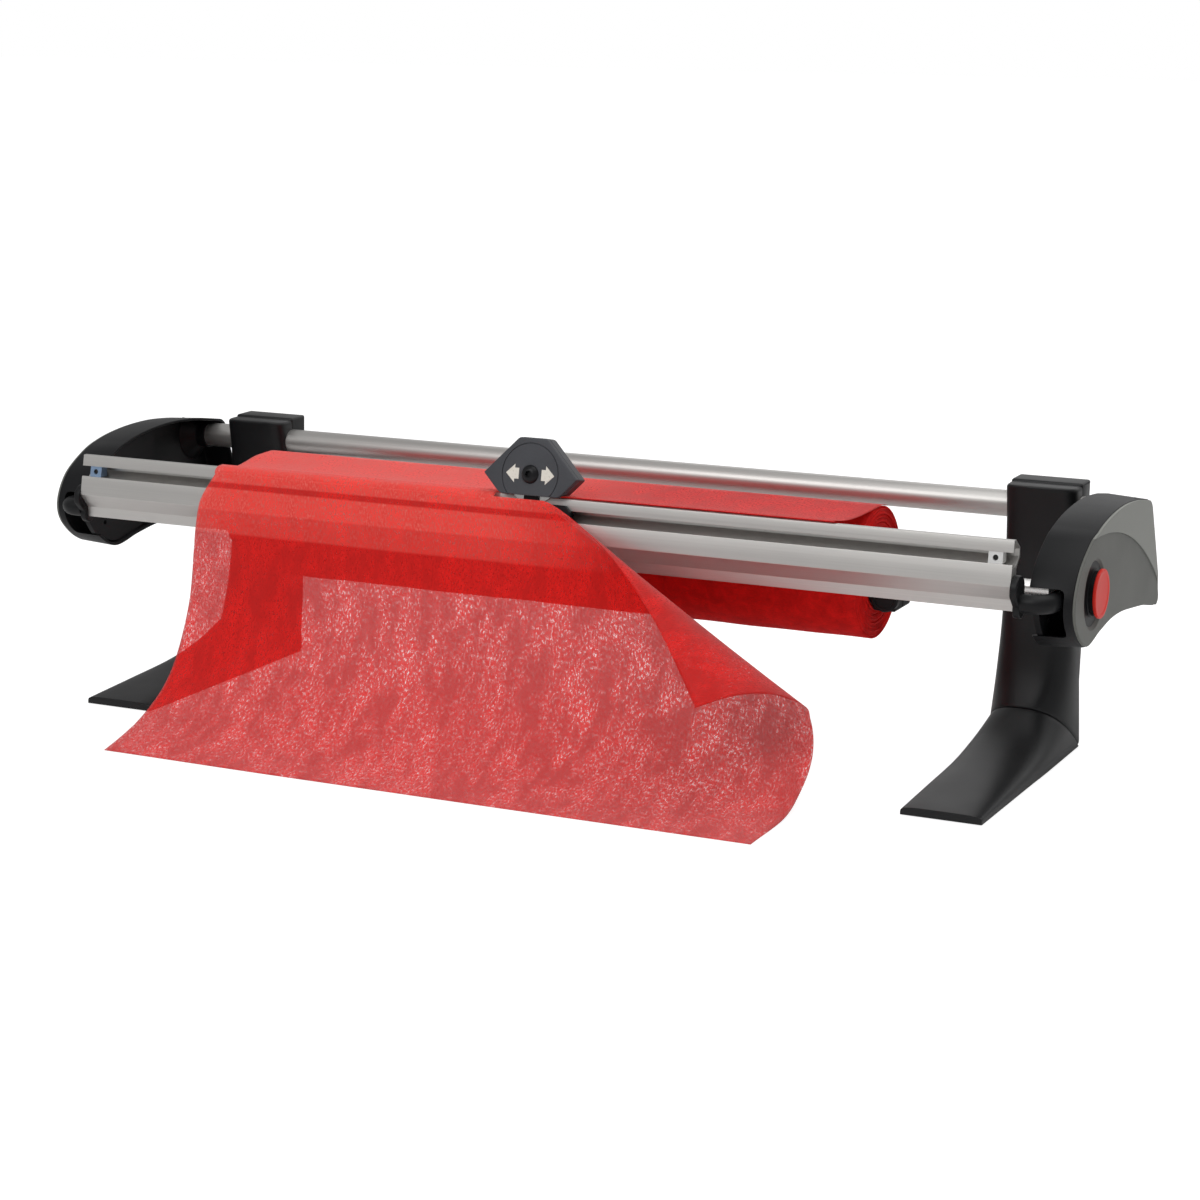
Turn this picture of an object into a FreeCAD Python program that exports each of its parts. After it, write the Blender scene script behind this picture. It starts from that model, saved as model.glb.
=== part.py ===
import FreeCAD, Part
import math
import os

# Counter-top gift wrap cutter: two legs and a rear tube carry a side housing at each end.
# A slotted bar hangs on two cranks that turn in the housings, a cutter head runs along
# the bar, and a roll of wrap turns on an axle behind it.
#
# Lengths are millimetres. X runs along the bar and Z up from the counter. While the pieces
# are drawn, Y = 0 is the rear tube's axis and -Y is towards the user; save() then moves
# them so that the origin lies on the counter, half way along and half way front to back.

V = FreeCAD.Vector

# --- fits -------------------------------------------------------------------------------
RUNNING_FIT = 0.05       # radial clearance of a part that turns on a pin
SEAT_FIT = 0.05          # radial clearance of a fixed part in its seat
FREE_GAP = 0.4           # least gap between pieces that move past each other

# --- rear tube and roll axle --------------------------------------------------------------
TUBE_RADIUS = 13.0
TUBE_WALL = 1.6
TUBE_Z = 238.0
AXLE_RADIUS = 8.0
ROLL_Y = -142.0
ROLL_Z = 189.0

# --- side housings (the right-hand one, at +X) -----------------------------------------------
HOUSING_WIDTH = 40.0     # from the open inner side to the side plate's outer face
HOUSING_CLEAR = 13.0     # from the bar's end to the housing's open inner side
HOUSING_WALL = 3.0
WEB_THICKNESS = 3.0
PLATE_RIM = 2.6          # thickness of the side plate where it lies on the housing's edge
PLATE_BODY = 8.5         # thickness of the side plate inside the rim
PLATE_STEP = 1.2         # depth of the crescent step
PANEL_THICKNESS = 5.5
PANEL_REAR_Y = -118.0
BOSS_WALL = 3.5
NOSE_ARCS = 14           # arcs that the round outline from the heel to the top is drawn with

# --- pivot of the bar, and the push button on the same axis ------------------------------------
PIVOT_Y = -178.0
PIVOT_Z = 198.0
PIN_RADIUS = 6.0
PIN_BORE = 3.5
BUTTON_RADIUS = 22.8
BUTTON_THICKNESS = 3.2
BUTTON_PROUD = 6.0       # from the side plate's recessed face to the button's face
BUTTON_TRAVEL = 4.0
SKIRT_WALL = 2.0         # skirt behind the button, which runs in the sleeve
STEM_RADIUS = 3.0
SLEEVE_WALL = 1.6
DISH_RADIUS = 33.0
DISH_DEPTH = 5.0

# --- crank arms ------------------------------------------------------------------------------
ROD_RADIUS = 9.0
ROD_Y = -257.0
ROD_Z = 200.5
ROD_BEND = 14.0
EYE_RADIUS = 14.0
EYE_WIDTH = 14.0
WINDOW_LOW = 165.5
WINDOW_HIGH = 212.5

# --- slotted bar ------------------------------------------------------------------------------
BAR_LENGTH = 1000.0
BAR_FRONT_Y = -263.0     # front of the bar at its top
BAR_WALL = 2.0
BAR_TOP_Z = 258.0
BAR_BOTTOM_Z = 192.5
SLOT_LOW_Z = 236.5
SLOT_HIGH_Z = 247.0
BAR_LEAN = 12.0          # the bar's face and the cutter head lean back by this angle
LUG_THICKNESS = 6.6
STOP_INSET = 9.5         # from the bar's end to the stop nut's outer side
STOP_LENGTH = 13.5

# --- cutter carriage ---------------------------------------------------------------------------
# Heights are taken up the bar's leaning face, depths square to it.
CUTTER_X = 21.0
SHOE_LENGTH = 86.0
SHOE_LOW = 230.5
SHOE_HIGH = 252.0
SHOE_THICKNESS = 4.2
SHOE_SCREW_SPACING = 65.0
NECK_WIDTH = 15.0
NECK_THICKNESS = 2.4
HEAD_HALF_WIDTH = 50.2
HEAD_HALF_TOP = 14.6
HEAD_HALF_BOTTOM = 31.5
HEAD_FOOT_DROP = 20.6    # from the blade's axis down to the head's bottom
HEAD_WAIST_DROP = 1.5    # from the blade's axis down to the head's widest place
HEAD_TOP_RISE = 35.2     # from the blade's axis up to the head's top
BLADE_RISE = 37.05       # from the middle of the slot up to the blade's axis
FRONT_COVER_THICKNESS = 5.5
REAR_COVER_THICKNESS = 13.5
BLADE_RADIUS = 28.0
BLADE_THICKNESS = 0.6
SCREW_SHANK_RADIUS = 4.0
SCREW_HEAD_RADIUS = 9.0
SCREW_HEAD_HEIGHT = 4.5

# --- roll of wrap ---------------------------------------------------------------------------
ROLL_RADIUS = 64.0
ROLL_LENGTH = 686.0
ROLL_CENTRE_X = -14.0
CORE_RADIUS = 28.0
CORE_WALL = 3.0
FLANGE_RADIUS = 33.0
FLANGE_THICKNESS = 1.5
SPIGOT_LENGTH = 22.0
CLAMP_WIDTH = 23.0
CLAMP_DEPTH = 40.0
CLAMP_LOW_Z = 156.0
CLAMP_HIGH_Z = 212.0
KNOB_RADIUS = 13.5
KNOB_THICKNESS = 9.0
KNOB_DROP = 18.0         # from the axle down to the clamp screw
KNOB_OFFSET = 3.2        # how far the screw lies outside the block's middle

# --- legs -----------------------------------------------------------------------------------
LEG_INSET = 52.0         # from the bar's end inwards to the leg's middle
LEG_TOP_WIDTH = 72.0
LEG_TOP_Z = 261.0
LEG_WALL = 3.5
RIB_THICKNESS = 2.5
PAD_HEIGHT = 1.0         # how far the rubber pads stand out below the foot
PAD_RADIUS = 9.0
PAD_RECESS = 1.5
BACK_SHELL_DEPTH = 28.0
BACK_SHELL_RISE = 2.0    # how far the back shell stands above the column
CLAMP_SCREW_RADIUS = 3.0
CLAMP_SCREW_GRIP = 12.0  # how deep the clamp screws reach into the column

# --- sheet pulled off the roll -----------------------------------------------------------------------
SHEET_THICKNESS = 0.8
SHEET_CUT_X = -16.0      # the sheet is cut from here to its right edge
FOLD_X = 55.0            # right of this the cut sheet folds forward
FLAP_X = 253.0           # the flap's hanging corner
SHEET_FRONT_Y = -434.0
HOUSING_REAR_Y = 44.0

HOUSING_IN = BAR_LENGTH / 2 + HOUSING_CLEAR
HOUSING_OUT = HOUSING_IN + HOUSING_WIDTH
LEG_CENTRE_X = BAR_LENGTH / 2 - LEG_INSET
LEG_LEFT = LEG_CENTRE_X - 80.0
LEG_RIGHT = LEG_CENTRE_X + 80.0

PARTS = {}


# --- helpers -------------------------------------------------------------------------------------------
def box(x0, x1, y0, y1, z0, z1):
    """Block between two corners."""
    return Part.makeBox(x1 - x0, y1 - y0, z1 - z0, V(x0, y0, z0))


def rod_x(radius, x0, x1, y, z):
    """Round bar along X."""
    return Part.makeCylinder(radius, x1 - x0, V(x0, y, z), V(1, 0, 0))


def rod_y(radius, y0, y1, x, z):
    """Round bar along Y."""
    return Part.makeCylinder(radius, y1 - y0, V(x, y0, z), V(0, 1, 0))


def polygon(points):
    """Closed wire through a list of points."""
    return Part.makePolygon(points + points[:1])


def side_prism(outline, x0, x1):
    """Solid from a closed list of (y, z) corners, between two planes of constant X."""
    face = Part.Face(polygon([V(x0, y, z) for y, z in outline]))
    return face.extrude(V(x1 - x0, 0, 0))


def front_prism(outline, y0, y1):
    """Solid from a closed list of (x, z) corners, between two planes of constant Y."""
    face = Part.Face(polygon([V(x, y0, z) for x, z in outline]))
    return face.extrude(V(0, y1 - y0, 0))


def edges_where(shape, test):
    """Edges whose ends and middle all pass a test on the point."""
    found = []
    for edge in shape.Edges:
        first, last = edge.ParameterRange
        points = [edge.valueAt(first + (last - first) * t) for t in (0.0, 0.5, 1.0)]
        if all(test(p) for p in points):
            found.append(edge)
    return found


def add(name, shape):
    """Keep a finished piece under its node name."""
    PARTS[name] = shape


def add_pair(name, shape):
    """Keep the right-hand piece and its mirror image on the left."""
    add("right_" + name, shape)
    add("left_" + name, shape.mirror(V(0, 0, 0), V(1, 0, 0)))


def save():
    """Move every piece to the shared frame and write its STEP file."""
    os.makedirs("parts", exist_ok=True)
    shift = V(0, -(SHEET_FRONT_Y + HOUSING_REAR_Y) / 2, 0)
    for name, shape in PARTS.items():
        placed = shape.copy()
        placed.translate(shift)
        placed.exportStep("parts/" + name + ".step")


# --- side housing ------------------------------------------------------------------------------------------
def nose_edges(x, start, start_way, end, end_way, inset):
    """Arcs along a smooth line from the heel over the arched underside, round the nose and
    over the top. An inset moves them inwards, square to the line."""
    through = [(-55, 157), (-125, 163.5), (-203, 152), (-236, 175), (-245, 203),
               (-226, 231), (-184, 252), (-108, 264.5)]
    curve = Part.BSplineCurve()
    curve.interpolate(Points=[start] + [V(x, y, z) for y, z in through] + [end],
                      InitialTangent=start_way, FinalTangent=end_way)
    first, last = curve.FirstParameter, curve.LastParameter
    points = []
    for k in range(2 * NOSE_ARCS + 1):
        at = first + (last - first) * k / (2 * NOSE_ARCS)
        way = curve.tangent(at)[0]
        points.append(curve.value(at) + V(0, way.z, -way.y) * inset)
    return [Part.Arc(*points[k:k + 3]).toShape() for k in range(0, 2 * NOSE_ARCS, 2)]


def housing_outline(x, inset=0.0):
    """Closed side outline: round about the tube at the top rear, a sloping back, a rounded
    heel, an arched underside, a large round nose and a gently crowned top."""
    corner, heel = TUBE_RADIUS + HOUSING_WALL + 1.0, 8.0
    heel_y, heel_z = HOUSING_REAR_Y - heel, TUBE_Z - 88.0
    reach = math.hypot(heel_y, heel_z - TUBE_Z)
    back = math.atan2(heel_z - TUBE_Z, heel_y) + math.acos((corner - heel) / reach)
    crown, sole = math.radians(100), math.radians(-102)

    def on_corner(angle, inwards=inset):
        radius = corner - inwards
        return V(x, radius * math.cos(angle), TUBE_Z + radius * math.sin(angle))

    def on_heel(angle, inwards=inset):
        radius = heel - inwards
        return V(x, heel_y + radius * math.cos(angle), heel_z + radius * math.sin(angle))

    top_arc = Part.Arc(on_corner(crown), on_corner((crown + back) / 2), on_corner(back))
    heel_arc = Part.Arc(on_heel(back), on_heel((back + sole) / 2), on_heel(sole))
    start_way = V(0, math.sin(sole), -math.cos(sole))
    end_way = V(0, math.sin(crown), -math.cos(crown))
    edges = [top_arc.toShape(), Part.LineSegment(on_corner(back), on_heel(back)).toShape(),
             heel_arc.toShape()]
    edges += nose_edges(x, on_heel(sole, 0), start_way, on_corner(crown, 0), end_way, inset)
    return Part.Wire(Part.__sortEdges__(edges))


def housing_prism(x0, x1, inset=0.0):
    """The housing's side outline, drawn in by an inset, as a solid between two planes."""
    return Part.Face(housing_outline(x0, inset)).extrude(V(x1 - x0, 0, 0))


WEB_OUT = HOUSING_OUT - PLATE_BODY
WEB_IN = WEB_OUT - WEB_THICKNESS
ROD_X = WEB_IN - FREE_GAP - 2.0 - ROD_RADIUS
PLATE_FACE = HOUSING_OUT - PLATE_STEP


def window_block(margin=0.0):
    """The tall window in the nose through which the crank arm passes."""
    right = ROD_X + ROD_RADIUS + 2.0
    block = box(HOUSING_IN - 1, right, -262 - margin, PIVOT_Y - EYE_RADIUS - 6, WINDOW_LOW, WINDOW_HIGH)
    return block.makeFillet(6.0, edges_where(block, lambda p: p.x > right - 0.1 and p.z > WINDOW_HIGH - 0.1))


def side_housing():
    """Moulded band with a web near its outer side, a flared boss on the tube and a boss
    for the pivot pin."""
    shell = housing_prism(HOUSING_IN, HOUSING_OUT - PLATE_RIM)
    shell = shell.cut(housing_prism(HOUSING_IN - 1, WEB_IN, HOUSING_WALL))
    shell = shell.cut(housing_prism(WEB_OUT, HOUSING_OUT, HOUSING_WALL))
    boss_radius = TUBE_RADIUS + BOSS_WALL
    boss_end = HOUSING_IN + 5.0
    boss = rod_x(boss_radius, boss_end, WEB_IN, 0, TUBE_Z)
    flare = Part.makeCone(boss_radius, boss_radius + 14, WEB_IN - boss_end - 6,
                          V(boss_end + 6, 0, TUBE_Z), V(1, 0, 0))
    pivot_boss = rod_x(PIN_RADIUS + 5, ROD_X + EYE_WIDTH / 2 + FREE_GAP, WEB_IN, PIVOT_Y, PIVOT_Z)
    inside = housing_prism(HOUSING_IN, WEB_OUT, HOUSING_WALL / 2)
    shell = shell.fuse([boss.fuse(flare).common(inside), pivot_boss]).removeSplitter()
    shell = shell.cut(rod_x(TUBE_RADIUS + SEAT_FIT, boss_end - 1, WEB_IN, 0, TUBE_Z))
    shell = shell.cut(rod_x(PIN_RADIUS, HOUSING_IN, HOUSING_OUT, PIVOT_Y, PIVOT_Z))
    return shell.cut(window_block())


def side_plate():
    """Lid over the housing's outer side: a thin rim on the band, a thicker body inside it,
    a shallow crescent step and a dish round the button."""
    rim = housing_prism(HOUSING_OUT - PLATE_RIM, HOUSING_OUT)
    rim = rim.makeChamfer(0.8, edges_where(rim, lambda p: p.x > HOUSING_OUT - 0.01))
    body = housing_prism(WEB_OUT, HOUSING_OUT - PLATE_RIM, HOUSING_WALL + SEAT_FIT)
    plate = rim.fuse(body).removeSplitter()
    step = rod_x(335.0, PLATE_FACE, HOUSING_OUT + 1, -184.6, -84.9)
    plate = plate.cut(step)
    dish = Part.makeCone(DISH_RADIUS - 7, DISH_RADIUS, DISH_DEPTH,
                         V(PLATE_FACE - DISH_DEPTH, PIVOT_Y - 6, PIVOT_Z), V(1, 0, 0))
    plate = plate.cut(dish)
    sleeve_hole = BUTTON_RADIUS - 0.2 + SEAT_FIT
    return plate.cut(rod_x(sleeve_hole, WEB_OUT - 1, HOUSING_OUT, PIVOT_Y, PIVOT_Z))


def inner_panel():
    """Closes the front of the housing's inner side, with a slot open to the rear that the
    axle's end drops into and a lip that shuts the lower part of the window."""
    panel = housing_prism(HOUSING_IN, HOUSING_IN + PANEL_THICKNESS, HOUSING_WALL + SEAT_FIT)
    panel = panel.common(box(HOUSING_IN, HOUSING_OUT, -400, PANEL_REAR_Y, 0, 400))
    rod_low = ROD_Z - ROD_RADIUS - 2.0
    panel = panel.cut(window_block().common(box(0, HOUSING_OUT, -400, 0, rod_low, 400)))
    lip = housing_prism(HOUSING_IN, HOUSING_IN + PANEL_THICKNESS)
    lip = lip.common(box(0, HOUSING_OUT, -400, PIVOT_Y - 40, WINDOW_LOW + SEAT_FIT, rod_low))
    panel = panel.fuse(lip).removeSplitter()
    seat = AXLE_RADIUS + SEAT_FIT
    x0, x1 = HOUSING_IN - 1, HOUSING_IN + PANEL_THICKNESS + 1
    slot = rod_x(seat, x0, x1, ROLL_Y, ROLL_Z).fuse(
        box(x0, x1, ROLL_Y, PANEL_REAR_Y + 1, ROLL_Z - seat, ROLL_Z + seat))
    panel = panel.cut(slot)
    return panel.cut(rod_x(2.6, x0, x1, PIVOT_Y - 35, PIVOT_Z - 21.5))


def pivot_pin():
    """Hollow pin from the web through the crank's eye."""
    start = HOUSING_IN + PANEL_THICKNESS
    pin = rod_x(PIN_RADIUS, start, WEB_OUT, PIVOT_Y, PIVOT_Z)
    return pin.cut(rod_x(PIN_BORE, start, WEB_OUT, PIVOT_Y, PIVOT_Z))


CAP_BACK = PLATE_FACE + BUTTON_PROUD - BUTTON_THICKNESS
SLEEVE_END = CAP_BACK - BUTTON_TRAVEL - 0.3


def button_sleeve():
    """Collar in the dish that the button's skirt runs in."""
    outer = BUTTON_RADIUS - 0.2
    sleeve = rod_x(outer, WEB_OUT, SLEEVE_END, PIVOT_Y, PIVOT_Z)
    sleeve = sleeve.makeChamfer(0.6, edges_where(sleeve, lambda p: p.x > SLEEVE_END - 0.01))
    return sleeve.cut(rod_x(outer - SLEEVE_WALL, WEB_OUT, SLEEVE_END, PIVOT_Y, PIVOT_Z))


def button_cap():
    """Round button with a bevelled edge, in front of its sleeve."""
    face = CAP_BACK + BUTTON_THICKNESS
    cap = rod_x(BUTTON_RADIUS, CAP_BACK, face, PIVOT_Y, PIVOT_Z)
    return cap.makeChamfer(1.0, edges_where(cap, lambda p: p.x > face - 0.01))


def button_skirt():
    """Skirt behind the button, with a stem that enters the end of the hollow pivot pin."""
    outer = BUTTON_RADIUS - 0.2 - SLEEVE_WALL - FREE_GAP
    start = WEB_OUT + BUTTON_TRAVEL + 0.5
    skirt = rod_x(outer, start, CAP_BACK, PIVOT_Y, PIVOT_Z)
    skirt = skirt.cut(rod_x(outer - SKIRT_WALL, start, CAP_BACK - 2, PIVOT_Y, PIVOT_Z))
    stem_start = ROD_X + ROD_RADIUS + FREE_GAP + BUTTON_TRAVEL
    return skirt.fuse(rod_x(STEM_RADIUS, stem_start, CAP_BACK - 1, PIVOT_Y, PIVOT_Z)).removeSplitter()


def button_spring():
    """Compression spring between the web and the button, as the tube of its outer form."""
    outer, wire = 9.0, 1.4
    spring = rod_x(outer, WEB_OUT, CAP_BACK - 2, PIVOT_Y, PIVOT_Z)
    return spring.cut(rod_x(outer - wire, WEB_OUT, CAP_BACK - 2, PIVOT_Y, PIVOT_Z))


# --- cutting bar and its cranks ---------------------------------------------------------------------------
def bar_front_y(z):
    """The front of the bar leans forward as it goes down, to the edge above the slant."""
    return BAR_FRONT_Y - (BAR_TOP_Z - z) * math.tan(math.radians(BAR_LEAN))


NOSE_Z = BAR_TOP_Z - 40.5
HEEL_Z = BAR_BOTTOM_Z + 10.5


def cutting_bar():
    """Extrusion with a T slot in front, a closed chamber below it and a thin lip at the foot."""
    wall, top, foot = BAR_WALL, BAR_TOP_Z, BAR_BOTTOM_Z
    back = BAR_FRONT_Y + 17.0
    waist = BAR_FRONT_Y + 7.0
    outer = [(BAR_FRONT_Y, top), (BAR_FRONT_Y + 5, top), (back, top - 9), (back, top - 18), (waist, top - 27),
             (waist, HEEL_Z + 1), (waist - 1, HEEL_Z - 1), (waist - 1, foot), (waist - 3.2, foot),
             (waist - 3.8, HEEL_Z), (bar_front_y(NOSE_Z), NOSE_Z)]
    slot = [(bar_front_y(SLOT_HIGH_Z) - 3, SLOT_HIGH_Z), (BAR_FRONT_Y, SLOT_HIGH_Z),
            (BAR_FRONT_Y + 1.5, top - wall), (BAR_FRONT_Y + 4.3, top - wall), (back - wall, top - 10),
            (back - wall, top - 17), (waist - 1, top - 24.5), (BAR_FRONT_Y - wall, top - 24.5),
            (BAR_FRONT_Y - wall - 0.5, SLOT_LOW_Z), (bar_front_y(SLOT_LOW_Z) - 3, SLOT_LOW_Z)]
    chamber = [(waist - wall, top - 27.5), (bar_front_y(top - 28) + wall, top - 27.5),
               (bar_front_y(NOSE_Z) + wall, NOSE_Z + 0.5), (waist - 4.5, HEEL_Z + 2.5),
               (waist - wall, HEEL_Z + 2.5)]
    half = BAR_LENGTH / 2
    bar = side_prism(outer, -half, half)
    bar = bar.cut(side_prism(slot, -half, half))
    return bar.cut(side_prism(chamber, -half, half))


def bar_lug():
    """Waisted plate on the bar's end: a large lobe on the bar and a small one below the rod."""
    x0 = BAR_LENGTH / 2
    x1 = x0 + LUG_THICKNESS
    upper = rod_x(13.0, x0, x1, ROD_Y - 5, ROD_Z + 13)
    lower = rod_x(8.8, x0, x1, ROD_Y + 1, ROD_Z - 5.5)
    neck = box(x0, x1, ROD_Y - 6, ROD_Y + 9, ROD_Z - 6, ROD_Z + 12)
    lug = upper.fuse([lower, neck]).removeSplitter()
    return lug.makeChamfer(0.8, edges_where(lug, lambda p: p.x > x1 - 0.01))


def crank_arm():
    """Round rod from the lug, bent back through the window to an eye on the pivot pin."""
    start = V(BAR_LENGTH / 2 + LUG_THICKNESS, ROD_Y, ROD_Z)
    back = V(0, PIVOT_Y - ROD_Y, PIVOT_Z - ROD_Z)
    length = back.Length
    back.normalize()
    corner = V(ROD_X, ROD_Y, ROD_Z)
    bend_in = corner - V(ROD_BEND, 0, 0)
    bend_out = corner + back * ROD_BEND
    centre = bend_in + back * ROD_BEND
    outward = corner - centre
    outward.normalize()
    middle = centre + outward * ROD_BEND
    end = corner + back * (length - EYE_RADIUS + 3)
    path = Part.Wire([Part.LineSegment(start, bend_in).toShape(),
                      Part.Arc(bend_in, middle, bend_out).toShape(),
                      Part.LineSegment(bend_out, end).toShape()])
    ring = Part.Wire([Part.Circle(start, V(1, 0, 0), ROD_RADIUS).toShape()])
    rod = path.makePipeShell([ring], True, False)
    eye = rod_x(EYE_RADIUS, ROD_X - EYE_WIDTH / 2, ROD_X + EYE_WIDTH / 2, PIVOT_Y, PIVOT_Z)
    arm = rod.fuse(eye).removeSplitter()
    bore = rod_x(PIN_RADIUS + RUNNING_FIT, ROD_X - 20, ROD_X + 20, PIVOT_Y, PIVOT_Z)
    return arm.cut(bore)


STOP_BORE = 2.6


def stop_nut():
    """Square nut in the slot's end, with a bore for its grub screw."""
    x1 = BAR_LENGTH / 2 - STOP_INSET
    x0 = x1 - STOP_LENGTH
    low, high = SLOT_LOW_Z + SEAT_FIT, SLOT_HIGH_Z - SEAT_FIT
    nut = side_prism([(bar_front_y(low) + 0.6, low), (BAR_FRONT_Y + 7, low), (BAR_FRONT_Y + 7, high),
                      (bar_front_y(high) + 0.6, high)], x0, x1)
    middle = (SLOT_LOW_Z + SLOT_HIGH_Z) / 2
    return nut.cut(rod_y(STOP_BORE, BAR_FRONT_Y - 12, BAR_FRONT_Y + 7, (x0 + x1) / 2, middle))


def stop_grub_screws():
    """Grub screw in each stop nut, tightened on the slot's back wall."""
    middle = (SLOT_LOW_Z + SLOT_HIGH_Z) / 2
    x = BAR_LENGTH / 2 - STOP_INSET - STOP_LENGTH / 2
    return Part.makeCompound([rod_y(STOP_BORE - 0.02, BAR_FRONT_Y - 1.5, BAR_FRONT_Y + 12.3, side * x, middle)
                              for side in (-1, 1)])


# --- cutter carriage ------------------------------------------------------------------------------------------
SLOT_MIDDLE = (SLOT_LOW_Z + SLOT_HIGH_Z) / 2
FACE_Y = bar_front_y(SLOT_MIDDLE)
BLADE_HEIGHT = SLOT_MIDDLE + BLADE_RISE
HEAD_BOTTOM = BLADE_HEIGHT - HEAD_FOOT_DROP
HEAD_WAIST = BLADE_HEIGHT - HEAD_WAIST_DROP
HEAD_TOP = BLADE_HEIGHT + HEAD_TOP_RISE
SHOE_BACK = FACE_Y - FREE_GAP
SHOE_FRONT = SHOE_BACK - SHOE_THICKNESS
NECK_BACK = SHOE_FRONT + NECK_THICKNESS
HEAD_FRONT = SHOE_FRONT - FRONT_COVER_THICKNESS + 0.4
PARTING = HEAD_FRONT + FRONT_COVER_THICKNESS
HEAD_REAR = PARTING + REAR_COVER_THICKNESS
BLADE_MIDDLE = FACE_Y - 1.2
NECK_TOP = HEAD_BOTTOM + 10.8
ARROW_DEPTH = 0.8


def lean(shape):
    """Turn a piece drawn upright at the slot's middle until it is parallel to the bar's face."""
    return shape.rotate(V(0, FACE_Y, SLOT_MIDDLE), V(1, 0, 0), -BAR_LEAN)


def shoe_screw_places():
    """The two places along the shoe where it is screwed to its slider."""
    return [CUTTER_X + side * SHOE_SCREW_SPACING / 2 for side in (-1, 1)]


def shoe_screw_holes():
    """Holes for the shoe's screws."""
    return Part.makeCompound([lean(rod_y(2.0, BAR_FRONT_Y - 27, BAR_FRONT_Y + 7, x, SLOT_MIDDLE))
                              for x in shoe_screw_places()])


def carriage_shoe():
    """Plate with clipped ends over the slot's front, and the neck that carries the head."""
    half, clip = SHOE_LENGTH / 2, 5.5
    corners = [(half, SHOE_LOW + clip), (half - clip, SHOE_LOW), (clip - half, SHOE_LOW),
               (-half, SHOE_LOW + clip), (-half, SHOE_HIGH - clip), (clip - half, SHOE_HIGH),
               (half - clip, SHOE_HIGH), (half, SHOE_HIGH - clip)]
    shoe = front_prism([(CUTTER_X + x, z) for x, z in corners], SHOE_FRONT, SHOE_BACK)
    shoe = shoe.makeChamfer(0.8, edges_where(shoe, lambda p: p.y < SHOE_FRONT + 0.01))
    left, right = CUTTER_X - NECK_WIDTH / 2, CUTTER_X + NECK_WIDTH / 2
    neck = box(left, right, SHOE_FRONT + 0.8, NECK_BACK, SHOE_HIGH - 4, NECK_TOP)
    blade_room = rod_y(BLADE_RADIUS + 1.5, NECK_BACK, SHOE_BACK, CUTTER_X, BLADE_HEIGHT)
    shoe = shoe.fuse(neck).removeSplitter().cut(blade_room)
    return lean(shoe).cut(shoe_screw_holes())


def slot_slider():
    """Slide that fills the slot behind the shoe and spreads behind the slot's lips."""
    half = SHOE_LENGTH / 2 - 6
    x0, x1 = CUTTER_X - half, CUTTER_X + half
    low, high = SLOT_LOW_Z + FREE_GAP, SLOT_HIGH_Z - FREE_GAP
    front, back = BAR_FRONT_Y + 1.6, BAR_FRONT_Y + 14
    tongue = side_prism([(bar_front_y(low) - FREE_GAP, low), (front + 3, low), (front + 3, high),
                         (bar_front_y(high) - FREE_GAP, high)], x0, x1)
    wings = side_prism([(front, SLOT_LOW_Z - 2.2), (front + 3.4, SLOT_LOW_Z - 2.2), (back, SLOT_LOW_Z + 4),
                        (back, SLOT_HIGH_Z + 0.5), (front + 4.4, SLOT_HIGH_Z + 5), (front, SLOT_HIGH_Z + 2)],
                       x0, x1)
    return tongue.fuse(wings).removeSplitter().cut(shoe_screw_holes())


def shoe_screws():
    """Pan-head screws through the shoe into the slider."""
    screws = []
    for x in shoe_screw_places():
        head = rod_y(3.8, SHOE_FRONT - 1.6, SHOE_FRONT, x, SLOT_MIDDLE)
        screws.append(lean(head.fuse(rod_y(1.98, SHOE_FRONT, BAR_FRONT_Y + 6, x, SLOT_MIDDLE))))
    return Part.makeCompound(screws)


def head_prism(y0, y1, bottom):
    """Six-sided body, wide at the waist, between two depths and above a level."""
    share = (bottom - HEAD_BOTTOM) / (HEAD_WAIST - HEAD_BOTTOM)
    half_bottom = HEAD_HALF_BOTTOM + (HEAD_HALF_WIDTH - HEAD_HALF_BOTTOM) * share
    corners = [(-half_bottom, bottom), (half_bottom, bottom), (HEAD_HALF_WIDTH, HEAD_WAIST),
               (HEAD_HALF_TOP, HEAD_TOP), (-HEAD_HALF_TOP, HEAD_TOP), (-HEAD_HALF_WIDTH, HEAD_WAIST)]
    return front_prism([(CUTTER_X + x, z) for x, z in corners], y0, y1)


def neck_pocket():
    """Room for the neck in the two head covers."""
    left, right = CUTTER_X - NECK_WIDTH / 2 - SEAT_FIT, CUTTER_X + NECK_WIDTH / 2 + SEAT_FIT
    return box(left, right, SHOE_FRONT + 0.8 - SEAT_FIT, NECK_BACK + SEAT_FIT, HEAD_BOTTOM - 1, NECK_TOP + SEAT_FIT)


def arrow_prism(side, y0, y1, grow=0.0):
    """Block arrow that points along X, one each side of the blade screw."""
    tip, barb, tail = 25.8 + grow, 16.5, 12.0 - grow
    reach, shaft = 8.9 + grow, 5.3 + grow
    outline = [(tip, 0), (barb, reach), (barb, shaft), (tail, shaft),
               (tail, -shaft), (barb, -shaft), (barb, -reach)]
    return front_prism([(CUTTER_X + side * x, BLADE_HEIGHT + z) for x, z in outline], y0, y1)


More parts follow.
